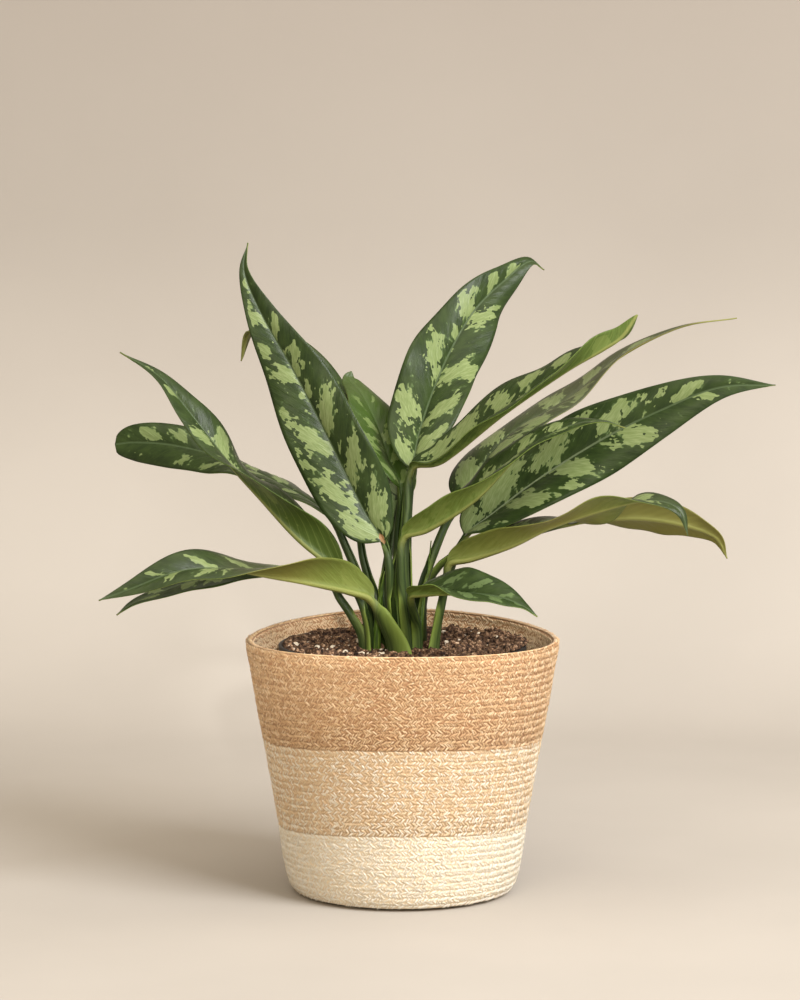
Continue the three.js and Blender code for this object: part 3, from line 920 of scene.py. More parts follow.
# What is scattered: piece, lump, count, limits of size in mm, flatness, share sunk in, where
SCATTERED = (
    ("soil_and_crumbs", "crumb", 2400, (0.4, 2.6), 0.75, 0.3, anywhere),
    ("soil_and_crumbs", "clod", 420, (1.4, 4.6), 0.7, 0.3, anywhere),
    ("soil_and_crumbs", "crumb", 300, (0.8, 2.6), 0.8, 0.2, over_the_rim),
    ("soil_perlite", "pearl", 260, (0.4, 2.3), 0.75, 0.25, anywhere),
    ("soil_bark", "scrap", 110, (0.8, 4.0), 0.3, 0.2, anywhere),
)
soil = {"soil_and_crumbs": soil_body(), "soil_perlite": bmesh.new(), "soil_bark": bmesh.new()}
draw = random.Random(21)
for name, lump, count, sizes, flat, sink, where in SCATTERED:
    drop_lumps(soil[name], templates[lump], count, sizes, flat, sink, where, draw)
    print(name, "gets", count, "of", lump)
piece("soil_and_crumbs", soil["soil_and_crumbs"], [PEAT], ["potting_soil"])
piece("soil_perlite", soil["soil_perlite"], [PERLITE])
piece("soil_bark", soil["soil_bark"], [BARK])
for shapes in templates.values():
    for shape in shapes:
        bpy.data.meshes.remove(shape)


# %% [markdown]
# The leaves are the subject, so each one is modelled by itself. A leaf could be a flat plane with a
# cut-out picture, but this plant's leaves are troughs, arches and twists, and their undersides show.
# So each leaf is one sheet: a grid whose rows cross the leaf and whose middle column is its midrib.
# The table gives, in millimetres, points up the stalk and points along the midrib. At each midrib
# point it also gives the degrees by which the left and the right half of the blade are raised.
# These are the values of the construction, so the fine sheet lies on the plain solid.

# %% Leaf table
# What a leaf takes where its own entry doesn't say:
PLAIN_LEAF = {
    "base": 0.5, "point": 1.1,  # how slowly the blade widens at its base, and narrows to its tip
    "ripple": 0.02,  # how much its outline swells and narrows, as a share
    "stout": 1, "sheath": 1.5, "sheath_end": 0.55,  # the stalk's girth, its open wings, where they end
    # rib paints the midrib pale, partly its own colour and partly a painted sheen along it.
    "scar": 0, "rib": 0,  # how clear the scar at the neck is, and how pale the midrib
    # Of the tones, lit paints a glow of light through the leaf, and deep paints shade on the underside.
    "dull": 0, "lit": 0, "deep": 0,  # tones of the two skins
    "olive": [(0, 0), (1, 0)],  # how olive it is, along the blade
}
LEAVES = {
    "leaf_tall_left": {
        "half": 28, "point": 1.25, "wave": 1.6, "scar": 1,
        "stalk": [[-8.5, -14.5, 150], [-6.5, -15.5, 181], [-8, -23, 207], [-9, -28, 229]],
        "blade": [
            [-13, -24, 246, -60, 80], [-26, -20, 266, -64, 88], [-49, -12, 312, -68, 98],
            [-73, -4, 358, -70, 85], [-96, 4, 398, -66, 90], [-108, 10, 427, -60, 100],
            [-106, 14, 447, -55, 100],
        ],
    },
    "leaf_tall_right": {
        "half": 27, "point": 1.0, "wave": 2.4, "ripple": 0.06, "scar": 0.9,
        "stalk": [[0, -1, 150], [3, -3, 190], [3, -2, 230], [4, 0, 264]],
        "blade": [
            [7, 2, 293, 30, 0], [13, 30, 320, 33, 0], [30, 74, 361, 50, -24], [51, 105, 395, 57, -46],
            [75, 128, 417, 70, -50], [91, 140, 428, 60, -50], [102, 144, 422, 50, -50],
        ],
    },
    "leaf_folded_right": {
        "half": 24, "point": 0.8, "wave": 1.4, "deep": 0.3,
        "stalk": [[4.5, -5.5, 150], [3, -11, 192], [1, -18, 228], [3, -13, 263]],
        "blade": [
            [6, -8, 294, 44, 20], [28, -18, 301, 50, 8], [68, -34, 334, 46, 2], [110, -46, 364, 36, 4],
            [134, -50, 378, 25, 60], [147, -52, 387, 0, 80], [157, -52, 402, -20, 70],
        ],
    },
    "leaf_long_tip": {
        "half": 25, "base": 0.42, "point": 1.9, "wave": 1.4, "dull": 0.1,
        "olive": [(0, 0), (0.3, 0.4), (0.5, 1.0), (1, 1.0)],
        "stalk": [[6, 4, 150], [8, 5, 180], [14, 7, 212], [23, 10, 237], [31, 14, 255]],
        "blade": [
            [41, 18, 269, 26, -20], [60, 36, 299, 8, -14], [82, 52, 318, 0, -10], [118, 70, 337, 8, 0],
            [153, 84, 364, 12, 10], [196, 96, 384, 8, 12], [237, 104, 390, 10, 12],
        ],
    },
    "leaf_broad_right": {
        "half": 29, "base": 0.42, "wave": 1.8, "rib": 1.3,
        "stalk": [[20, 1, 150], [23, 3, 180], [27, 4, 203], [34, 3, 226]],
        "blade": [
            [43, 0, 247, 60, -10], [61, -4, 262, 65, -20], [92, -14, 287, 54, -42], [134, -26, 315, 72, -68],
            [174, -34, 336, 84, -78], [213, -40, 352, 84, -66], [251, -42, 354, 80, -60],
        ],
    },
    "leaf_folded_front": {
        "half": 20, "wave": 1.2, "olive": [(0, 0.1), (1, 0)],
        "stalk": [[4, -14, 150], [2.5, -17, 181], [0, -26, 206], [-1, -29, 234]],
        "blade": [
            [1, -28, 249, 50, 60], [18, -36, 256, 48, 52], [49, -50, 278, 44, 26], [79, -62, 310, 44, -12],
            [108, -72, 328, 32, -16], [131, -78, 333, 12, -8], [148, -82, 329, 0, 0],
        ],
    },
    "leaf_small_front": {
        "half": 19, "wave": 1, "dull": 0.85,
        "stalk": [[10, -10, 150], [10, -12, 182], [8, -23, 195], [6, -33, 204]],
        "blade": [
            [6, -40, 211, 20, 30], [15, -47, 213, 33, 30], [32, -58, 215, 54, 18], [52, -70, 216, 60, -8],
            [68, -78, 214, 42, -14], [81, -83, 209, 25, 0], [90, -86, 203, 20, 0],
        ],
    },
    "leaf_twisted_right": {
        "half": 22, "wave": 1,
        "olive": [(0, 0.4), (0.3, 0.6), (0.45, 1.0), (0.58, 0.6), (0.7, 0.2), (1, 0.2)],
        "stalk": [[18, -9, 150], [22, -7, 178], [27, -12, 203], [30, -17, 219]],
        "blade": [
            [32, -20, 230, 40, 88], [47, -25, 234, 40, 66], [74, -32, 244, 44, 42], [101, -38, 258, 10, 15],
            [136, -44, 270, -36, 34], [160, -46, 276, 16, 6], [178, -50, 275, 30, -20],
            [188, -53, 268, 40, -50], [192, -54, 253, 40, -60],
        ],
    },
    "leaf_arching_right": {
        "half": 19, "wave": 0.8, "olive": [(0, 0.6), (0.3, 0.9), (1, 1.0)],
        "stalk": [
            [13, 7, 150], [13, 11, 180], [14, 15, 203], [22, 15, 221], [35, 12, 232], [62, 8, 240],
            [90, 2, 249],
        ],
        "blade": [
            [114, -2, 256, 20, -10], [132, -5, 259, -8, 15], [162, -8, 260, -34, 60],
            [190, -12, 256, -42, 70], [213, -14, 248, -50, 60], [222, -15, 233, -50, 60],
        ],
    },
    "leaf_low_left": {
        "half": 24, "wave": 1, "sheath": 3.0, "sheath_end": 0.85, "stout": 2.0, "deep": 0.12,
        "olive": [(0, 0.3), (0.2, 0.4), (0.35, 0.9), (0.5, 0.8), (0.6, 0.1), (1, 0.2)],
        "stalk": [[-3, -22, 150], [-5, -23, 173], [-12, -27, 190]],
        "blade": [
            [-21, -31, 206, 90, 20], [-36, -38, 213, 80, 10], [-62, -54, 221, 60, 5], [-89, -68, 228, 24, 15],
            [-118, -80, 234.5, -6, 24], [-148, -90, 234, -24, 54], [-180, -98, 223, -36, 70],
            [-201, -102, 216, -40, 60],
        ],
    },
    "leaf_low_left_under": {
        "half": 18, "wave": 0.8, "dull": 0.5,
        "stalk": [[-26, -8, 150], [-27, -8, 176], [-34, -7, 191], [-43, -5, 204]],
        "blade": [
            [-51, -4, 216, 10, 4], [-77, -10, 226, -10, -12], [-103, -26, 229, -18, -8],
            [-136, -48, 224, -20, 10], [-163, -62, 216, -20, 20], [-180, -71, 210, -10, 24],
            [-191, -78, 203, -10, 24],
        ],
    },
    "leaf_upper_left": {
        "half": 24, "point": 1.3, "wave": 1.4, "ripple": 0.05, "deep": 0.8, "olive": [(0, 0.1), (1, 0)],
        "stalk": [[-22, -14.5, 150], [-23, -15, 185], [-31, -15, 209]],
        "blade": [
            [-43, -14, 223, 80, 30], [-70, -12, 245, 75, 30], [-96, -6, 273, 35, 15], [-118, 4, 296, 6, 5],
            [-146, 14, 330, -24, 42], [-167, 22, 354, -12, 40], [-195, 30, 371, 0, 30],
        ],
    },
    "leaf_blunt_left": {
        "half": 19, "base": 0.4, "point": 0.32, "wave": 1.2, "dull": 0.25,
        "stalk": [[-22, 0, 150], [-21.5, -1, 188], [-28, 3, 212], [-39, 9, 238]],
        "blade": [
            [-49, 14, 258, 0, -10], [-64, 30, 268, 0, -10], [-93, 56, 281, -5, -12], [-125, 82, 292, -27, -9],
            [-162, 104, 299, -60, 50], [-190, 116, 300, -75, 70], [-206, 122, 298, -75, 70],
        ],
    },
    "leaf_hooked_left": {
        "half": 20, "point": 0.9, "wave": 1, "olive": [(0, 0), (0.6, 0.1), (0.8, 0.8), (1, 0.9)],
        "stalk": [[-15, 1, 150], [-15, 3, 182], [-20, 8, 205], [-27, 13, 229]],
        "blade": [
            [-30, 16, 250, 20, -20], [-36, 38, 283, 30, -15], [-45, 64, 321, 30, 0], [-62, 84, 347, 10, 28],
            [-87, 98, 373, -20, 40], [-107, 104, 381, -10, 20], [-115, 108, 359, -10, 10],
        ],
    },
    "leaf_behind_centre": {
        "half": 23, "point": 0.8, "wave": 1.2, "lit": 0.45,
        "olive": [(0, 0), (0.62, 0), (0.85, 0.9), (1, 1)],
        "stalk": [[-7, -0.5, 150], [-4, 0, 190], [-4, 4, 218], [-3, 4, 250]],
        "blade": [
            [-1, 3, 279, 28, -12], [-9, 22, 297, 18, -8], [-18, 46, 320, 14, -8], [-29, 64, 340, 12, -12],
            [-37, 74, 348, 0, 0], [-36, 78, 354, 0, 0],
        ],
    },
    "leaf_back": {
        "half": 20, "wave": 1.4, "dull": 0.4,
        "stalk": [[-10.5, -5, 150], [-11, -5, 190], [-12, 6, 215], [-9, 16, 236]],
        "blade": [
            [-6, 30, 254, 10, 45], [0, 62, 271, 10, 60], [1, 96, 282, 10, 65], [1, 130, 282, 15, 60],
            [2, 152, 273, 15, 30], [5, 162, 263, 15, 15],
        ],
    },
}
LEAVES = {name: {**PLAIN_LEAF, **leaf} for name, leaf in LEAVES.items()}
STALK_FOOT = 4.2
STALK_NECK = 2.5
print("leaves in the table:", len(LEAVES))

# %% [markdown]
# A leaf's middle line is a smooth curve through the table's points. It is sampled once, so that
# places on it can be found by true distance from the foot of the stalk.

# %% Middle line of a leaf
LINE_SAMPLES = 400


def smooth_curve(points, t):
    """The point at t, from 0 to 1, on a curve that passes smoothly through all the points."""
    last = len(points) - 1
    place = held(t) * last
    start = min(int(place), last - 1)
    f = place - start
    here, ahead = points[start], points[start + 1]
    before = points[start - 1] if start > 0 else 2 * here - ahead
    after = points[start + 2] if start + 2 <= last else 2 * ahead - here
    leave, arrive = (ahead - before) / 2, (after - here) / 2
    bend = 3 * (ahead - here) - 2 * leave - arrive
    twist = 2 * (here - ahead) + leave + arrive
    return here + leave * f + bend * f ** 2 + twist * f ** 3


class MiddleLine:
    """The line of a leaf from the foot of its stalk to the tip of its blade."""

    def __init__(self, stalk, blade):
        self.points = [Vector(p[:3]) for p in stalk + blade]
        self.raises = [Vector((p[3], p[4])) for p in blade]
        self.joint = len(stalk) / (len(self.points) - 1)
        steps = [i / LINE_SAMPLES for i in range(LINE_SAMPLES + 1)]
        samples = [smooth_curve(self.points, t) for t in steps]
        far, self.table = 0.0, [(0.0, 0.0)]
        for t, a, b in zip(steps[1:], samples, samples[1:]):
            far += (b - a).length
            self.table.append((far, t))
        self.length = far
        self.neck = self.table[round(LINE_SAMPLES * self.joint)][0]
        self.blade_length = far - self.neck
        run = self.points[-1] - self.points[len(stalk)]
        self.left = Vector((-run.y, run.x, 0)).normalized()

    def at(self, distance):
        """Centre, sideways and upward directions, and the raise of both halves, at a distance."""
        t = between(self.table, min(distance, self.length))
        along = (smooth_curve(self.points, t + 1e-4) - smooth_curve(self.points, t - 1e-4)).normalized()
        side = (self.left - along * self.left.dot(along)).normalized()
        row = max(0, (t - self.joint) / (1 - self.joint))
        return smooth_curve(self.points, t), side, along.cross(side), smooth_curve(self.raises, row)


# %% [markdown]
# A sheet starts as a flat grid and is bent row by row. Along the stalk its row is rolled into a
# channel, because such a leaf clasps the stem with a sheath and its stalk is grooved on top. Just
# before the blade the channel opens, and from there each row is two arched halves. Small shapes ride
# on that: a groove along the midrib, soft quilting between the side veins, and a fine ripple at the
# margin.

# %% Shape of a leaf's rows
STALK_ROWS = 22
BLADE_ROWS = 84
COLUMNS = 28
STALK_WALL = 1.4
CHANNEL_WRAP = 0.88
WING_OPENING = 0.26
WING_SPREAD = 0.85
OPENING = {"before": 12, "after": 4}
VEIN_ANGLE = math.radians(30)
VEIN_SPACING = 5.0
LEAST_HALF = 0.3
ARCH = 0.08
MARGIN_RISE = 0.35
GROOVE = {"depth": 0.7, "width": 1.3}
QUILTING = 0.22


def half_width(leaf, u):
    """Half the width of the blade at u, from 0 at its base to 1 at its tip."""
    base, point = leaf["base"], leaf["point"]
    peak = base / (base + point)
    return leaf["half"] * u ** base * (1 - u) ** point / (peak ** base * (1 - peak) ** point)


def channel_point(v, radius, place, sheath):
    """A point of the rolled stalk; v goes from -1 at the left margin to 1 at the right one. Where sheath
    is above 0 the channel stands open and its margins spread into wings."""
    centre, side, up, _ = place
    turn = (CHANNEL_WRAP - WING_OPENING * min(sheath, 1)) * math.pi * v
    spread = radius * (1 + WING_SPREAD * sheath * abs(v) ** 3)
    return centre - (side * math.sin(turn) + up * math.cos(turn)) * spread


def vein_place(along, away, opened=1.0):
    """A point's place across the side veins and along them, from its place along the midrib and away
    from it. On the stalk, where opened is 0, these are its places up the stalk and round it."""
    lean = math.pi / 2 + (VEIN_ANGLE - math.pi / 2) * opened
    return along * math.sin(lean) - away * math.cos(lean), along * math.cos(lean) + away * math.sin(lean)


def blade_point(leaf, u, v, place):
    """A point of the blade's upper face, how far it is from the midrib, the way that its half of the
    blade faces, and how much room there is for small shapes."""
    centre, side, up, raises = place
    left = v <= 0
    sign = 1 if left else -1
    angle = math.radians(raises[0 if left else 1])
    out = side * (sign * math.cos(angle)) + up * math.sin(angle)
    face = up * math.cos(angle) - side * (sign * math.sin(angle))
    width = max(half_width(leaf, u), STALK_NECK if u < 0.5 else LEAST_HALF)
    phase = 0 if left else 2
    width *= 1 + leaf["ripple"] * math.sin(math.pi * u) * math.sin(18 * u + 1.7 * phase)
    reach = abs(v)
    away = reach * width
    room = min(1, 1.5 * width / leaf["half"])
    rise = leaf["wave"] * room * reach ** 2 * math.sin(6 * math.pi * u + phase)
    rise += ARCH * width * math.sin(math.pi * reach)
    rise += MARGIN_RISE * room * reach ** 4 * math.sin(31 * u + 2.3 * phase + leaf["half"])
    rise -= GROOVE["depth"] * (1 - u) * math.exp(-(away / GROOVE["width"]) ** 2)
    return centre + out * away + face * rise, away, face, room


print("rows in a leaf:", STALK_ROWS + BLADE_ROWS, "columns:", COLUMNS)

# %% [markdown]
# The pale blotches of this plant lie between the side veins and are stretched along them. Where they
# lie is set here, as a soft field on the sheet. Their ragged outline comes later, in the material.
# On half of the leaves, those whose upper faces show best, they are listed one by one. On the others
# they are dealt out by a seeded draw, in two rows like the real ones.

# %% Blotches
# For each half: place along the blade, place out from the midrib, length along the veins in mm,
# width across the veins in mm
BLOTCHES = {
    "leaf_tall_left": (
        [(0.06, 0.5, 14, 6), (0.19, 0.45, 16, 6), (0.30, 0.8, 7, 2.5), (0.37, 0.4, 16, 6.5),
         (0.48, 0.85, 7, 2.5), (0.50, 0.1, 3, 2), (0.58, 0.35, 13, 5.5), (0.68, 0.6, 6, 2.5),
         (0.77, 0.3, 12, 3.5), (0.87, 0.3, 8, 2.5)],
        [(0.02, 0.6, 9, 4.5), (0.09, 0.5, 15, 7), (0.27, 0.45, 18, 6), (0.30, 0.15, 5, 2), (0.43, 0.4, 18, 5),
         (0.50, 0.1, 5, 2), (0.60, 0.2, 12, 5), (0.72, 0.35, 9, 2)],
    ),
    "leaf_tall_right": (
        [(0.05, 0.5, 14, 7), (0.22, 0.5, 20, 8), (0.44, 0.3, 15, 6), (0.52, 0.85, 5, 2), (0.56, 0.15, 5, 2.5),
         (0.66, 0.35, 13, 7), (0.78, 0.45, 12, 3), (0.87, 0.3, 9, 4)],
        [(0.06, 0.45, 12, 7), (0.12, 0.7, 12, 4), (0.24, 0.5, 19, 6), (0.40, 0.85, 5, 2.5),
         (0.42, 0.5, 19, 7), (0.66, 0.35, 14, 5)],
    ),
    "leaf_low_left": (
        [(0.1, 0.3, 10, 4), (0.52, 0.2, 12, 2.2), (0.62, 0.3, 15, 2.6), (0.74, 0.15, 16, 2.2)],
        [(0.12, 0.4, 9, 4), (0.50, 0.3, 12, 2.6), (0.64, 0.25, 14, 2.4), (0.80, 0.4, 8, 1.6)],
    ),
    "leaf_upper_left": (
        [(0.33, 0.6, 12, 4), (0.43, 0.5, 8, 3), (0.60, 0.4, 10, 4), (0.80, 0.5, 12, 4)],
        [(0.25, 0.5, 8, 4), (0.56, 0.45, 18, 6), (0.90, 0.4, 4, 1.5)],
    ),
    "leaf_blunt_left": (
        [(0.20, 0.5, 8, 2.5), (0.40, 0.45, 14, 3), (0.55, 0.55, 14, 2.5), (0.70, 0.6, 10, 2.5)],
        [(0.30, 0.4, 9, 4), (0.45, 0.3, 10, 4), (0.60, 0.45, 9, 3.5), (0.75, 0.4, 8, 4), (0.87, 0.5, 7, 4)],
    ),
    "leaf_small_front": (
        [(0.3, 0.5, 7, 2.2), (0.55, 0.45, 9, 2.2), (0.75, 0.35, 7, 1.6)],
        [(0.3, 0.4, 8, 3), (0.5, 0.55, 10, 3), (0.7, 0.4, 8, 3), (0.86, 0.4, 4, 1.6)],
    ),
    "leaf_behind_centre": (
        [(0.12, 0.5, 8, 3), (0.34, 0.5, 10, 4), (0.52, 0.35, 8, 2.6), (0.7, 0.5, 7, 2)],
        [(0.1, 0.4, 7, 3), (0.28, 0.35, 9, 4), (0.46, 0.4, 10, 5), (0.74, 0.4, 5, 1.6)],
    ),
    "leaf_broad_right": (
        [(0.03, 0.5, 10, 8), (0.16, 0.5, 19, 9), (0.34, 0.45, 16, 8), (0.46, 0.8, 12, 3.5),
         (0.55, 0.45, 16, 6), (0.70, 0.75, 6, 2), (0.75, 0.25, 17, 5)],
        [(0.05, 0.5, 14, 5), (0.22, 0.5, 19, 7), (0.36, 0.8, 8, 3), (0.38, 0.35, 19, 7), (0.50, 0.3, 8, 3),
         (0.58, 0.35, 13, 6), (0.80, 0.2, 9, 4)],
    ),
}


def dealt_blotches(half, seed):
    """Blotches for one half of a blade, drawn from a seed."""
    draw = random.Random(seed)
    u = draw.uniform(0.05, 0.12)
    dealt = []
    while u < 0.92:
        size = half * draw.uniform(0.42, 0.66) * (1 - 0.5 * u)
        dealt.append((u, draw.uniform(0.3, 0.6), size, size * draw.uniform(0.6, 0.95)))
        u += draw.uniform(0.12, 0.19)
    return dealt


def leaf_blotches(name, leaf, number, blade_length):
    """The blotches of both halves of a leaf, with their places in mm, across the veins and along them."""
    dealt = [dealt_blotches(leaf["half"], 10 * number + half) for half in (0, 1)]
    return [
        [(*vein_place(u * blade_length, v * half_width(leaf, u)), *size) for u, v, *size in blotches]
        for blotches in BLOTCHES.get(name, dealt)
    ]


def blotch_field(blotches, across, down):
    """How deep a point lies in the blotches, from 0 to 1. The field is one half at the blotch's edge."""
    deepest = 0
    for blotch_across, blotch_down, length, width in blotches:
        off = ((across - blotch_across) / width) ** 2 + ((down - blotch_down) / length) ** 2
        deepest = max(deepest, 0.5 ** off)
    return deepest


print("leaves with blotches placed by hand:", len(BLOTCHES))

# %% [markdown]
# Each leaf carries its own map, in centimetres: one way across the side veins, the other way along
# them, with the left half below zero. Side veins are straight lines on that map, so streaks and
# ragged edges can follow them in the material. Other values ride on the sheet by name, such as how
# far a point is from the midrib, and how thick the leaf is there.

# %% Leaf sheets
WALL_MOST = 2.6
BLADE_EDGE = 0.6
KEEL = {"depth": 1.7, "width": 1.7}
MAP_SHIFT = 20
MAP_STEP = 60
WHOLE_LEAF_VALUES = ("deep", "dull", "lit")
SHEET_VALUES = ("pale", "blade", "margin", "away", "wing", "scar", "olive", "rib") + WHOLE_LEAF_VALUES


def stations(line):
    """The distance and the place on the middle line of every row of the sheet. On the blade the rows
    stand closer toward its base and its tip."""
    found = []
    for row in range(STALK_ROWS + BLADE_ROWS + 1):
        if row < STALK_ROWS:
            distance = line.neck * row / STALK_ROWS
        else:
            k = (row - STALK_ROWS) / BLADE_ROWS
            distance = line.neck + line.blade_length * (0.5 * k + 0.25 * (1 - math.cos(math.pi * k)))
        found.append((distance, line.at(distance)))
    return found


def leaf_sheet(name, leaf, number):
    """The sheet of one leaf as a bmesh, with its map and its attributes."""
    line = MiddleLine(leaf["stalk"], leaf["blade"])
    blotches = leaf_blotches(name, leaf, number, line.blade_length)
    rows = stations(line)
    sheet = bmesh.new()
    veins = sheet.loops.layers.uv.new("veins")
    wall = sheet.verts.layers.deform.verify()
    layers = {key: sheet.verts.layers.float.new(key) for key in SHEET_VALUES}
    bmesh.ops.create_grid(sheet, x_segments=COLUMNS, y_segments=len(rows) - 1, size=1)
    mapped = {}
    for vert in sheet.verts:
        column = vert.co.x
        distance, place = rows[round((vert.co.y + 1) / 2 * (len(rows) - 1))]
        past = distance - line.neck
        u = held(past / line.blade_length)
        v = math.copysign(abs(column) ** 1.5, column)
        on_blade, away, face, room = blade_point(leaf, u, v, place)
        opened = soft_step(-OPENING["before"], OPENING["after"], past)
        share = min(distance / line.neck, 1)
        radius = (STALK_FOOT + (STALK_NECK - STALK_FOOT) * share - STALK_WALL) * leaf["stout"]
        sheath = leaf["sheath"] * (1 - soft_step(leaf["sheath_end"], leaf["sheath_end"] + 0.13, share))
        wing = min(sheath, 1)
        across, down = vein_place(past, away)
        veined = math.cos(2 * math.pi * across / VEIN_SPACING)
        quilt = QUILTING * room * math.sin(math.pi * abs(v)) * veined
        rolled = channel_point(column, radius, place, sheath)
        vert.co = rolled.lerp(on_blade + face * quilt, opened) * MM

        keel = KEEL["depth"] * (1 - 0.85 * u) * math.exp(-(away / KEEL["width"]) ** 2)
        thick = STALK_WALL + (BLADE_EDGE + keel - STALK_WALL) * opened
        vert[wall][0] = thick * (1 - 0.5 * wing * abs(column) ** 2) / WALL_MOST
        flat_away = away * opened + abs(column) * 3 * radius * (1 - opened)
        on_map = Vector(vein_place(past, flat_away, opened)) / 10
        mapped[vert] = (column, on_map.x + MAP_STEP * number, on_map.y + MAP_SHIFT)
        values = {
            "pale": blotch_field(blotches[0 if v <= 0 else 1], across, down) * opened,
            "blade": opened,
            "margin": max(half_width(leaf, u), LEAST_HALF) - away,
            "away": away / 10,
            "wing": wing * abs(column) ** 4,
            "scar": leaf["scar"] * math.exp(-((past - 2) / 4) ** 2 - (away / 2) ** 2),
            "olive": between(leaf["olive"], u),
            "rib": leaf["rib"] * max(0, 1 - 1.6 * u),
            **{key: leaf[key] for key in WHOLE_LEAF_VALUES},
        }
        for key, value in values.items():
            vert[layers[key]] = value
    for face in sheet.faces:
        side = math.copysign(1, sum(mapped[vert][0] for vert in face.verts))
        for loop in face.loops:
            _, across, down = mapped[loop.vert]
            loop[veins].uv = across, side * down
    return sheet


print("values on a sheet:", SHEET_VALUES)

# %% [markdown]
# A real leaf is thin at its margin and thick at its midrib, where a keel runs under it. Solidify
# gives the sheet its thickness downward, by the weights that each vertex carries, and gives its lower
# skin and its rim the second material, because the underside is duller.

# %% Thickness of a leaf


def thicken(leaf_piece):
    """Gives a sheet its thickness from the 'wall' weights, downward from the upper face."""
    leaf_piece.vertex_groups.new(name="wall")
    solid = leaf_piece.modifiers.new("thickness", "SOLIDIFY")
    solid.thickness = WALL_MOST * MM
    solid.offset = -1
    solid.vertex_group = "wall"
    solid.use_quality_normals = True
    solid.material_offset = 1
    solid.material_offset_rim = 1


print("a midrib is", BLADE_EDGE + KEEL["depth"], "mm thick at the base of a blade")

# %% [markdown]
# Both skins of a leaf are painted on the leaf's own map: streaks, side veins and blotches all follow
# the veins there. The soft field of the blotches is broken up by noise that is stretched along the
# veins, at three scales. Specks and islands fall out of the same noise.

# %% Looks on the leaf's map
STALK_GREEN = srgb(46, 64, 29)
STALK_PALE = srgb(78, 96, 46)
# Noise that frays the blotches: cells to a centimetre across the veins and along them, weight
FRAYS = ((1.3, 0.6, 1.4), (3.6, 1.8, 1.5), (9.0, 4.5, 0.45))


class LeafLook(Look):
    """A look on the leaf's own map: place across the veins, distance out from the midrib, and half."""

    def __init__(self, name, roughness, **inputs):
        super().__init__(name, roughness, **inputs)
        self.across, down, _ = self.parts(self.add("UVMap", uv_map="veins").outputs[0])
        self.out = self.math("ABSOLUTE", down)
        self.half = self.math("SIGN", down)

    def streaks(self, across, out, detail=3.0):
        """Noise stretched along the veins, with that many cells to a centimetre across and along them."""
        place = self.vector(self.times(self.across, across), self.times(self.out, out),
                            self.times(self.half, 11.3))
        return self.noise(place, 1.0, detail)

    def side_veins(self):
        """A wave with its crests on the side veins."""
        return self.math("SINE", self.times(self.across, 20 * math.pi / VEIN_SPACING))

    def stalk_fibres(self):
        return self.streaks(0.4, 9)

    def stalk(self):
        return self.blend(self.cut(self.stalk_fibres(), 0.42, 0.7), STALK_GREEN, STALK_PALE)

    def blotches(self):
        """The ragged pale field, before it is cut. It stays clear of the margin."""
        field = self.attribute("pale")
        for across, out, weight in FRAYS:
            field = self.plus(field, self.sway(self.streaks(across, out, 1.0), weight))
        return self.times(field, self.cut(self.attribute("margin"), 0.8, 3.5))

    def relief(self, fine, depth):
        """Puts in the skin's relief: side veins and fine streaks on the blade, fibres on the stalk."""
        blade = self.plus(self.times(self.side_veins(), 0.2), fine)
        skin = self.add("Mix", {"Factor": self.attribute("blade"), 2: self.stalk_fibres(), 3: blade})
        self.bump(skin.outputs[0], depth)

    def let_through(self, colour, tint, amount):
        """Paints the leaf, and lets some tinted light through it."""
        self.paint(colour)
        glow = self.add("BsdfTranslucent")
        self.join(self.blend(1.0, colour, tint, "MULTIPLY"), glow.inputs["Color"])
        self.mix_in(glow, amount)


print("what a leaf's look adds:", [name for name in vars(LeafLook) if not name.startswith("_")])

# %% [markdown]
# The upper face is dark green with silvery pale green blotches. A painted picture could give them,
# but it would blur up close and belong to one photo, so the ragged field is cut sharply here instead.
# The skin is satin, and the key light lays a soft sheen on it.

# %% Upper skin
DARK_GREEN = srgb(40, 55, 27)
MOSS_GREEN = srgb(54, 71, 34)
MIDDLE_GREEN = srgb(80, 100, 60)
PALE_GREEN = srgb(116, 133, 82)
SILVER_GREEN = srgb(138, 153, 104)
# Painted light: the yellow-green glow of light shining through a leaf.
PAINTED_GLOW_GREEN = srgb(68, 98, 26)
TAUPE = srgb(88, 87, 68)
RIB_GREEN = srgb(74, 91, 60)
RIB_SHEEN_PALE = srgb(150, 163, 128)
SCAR_BROWN = srgb(158, 122, 86)


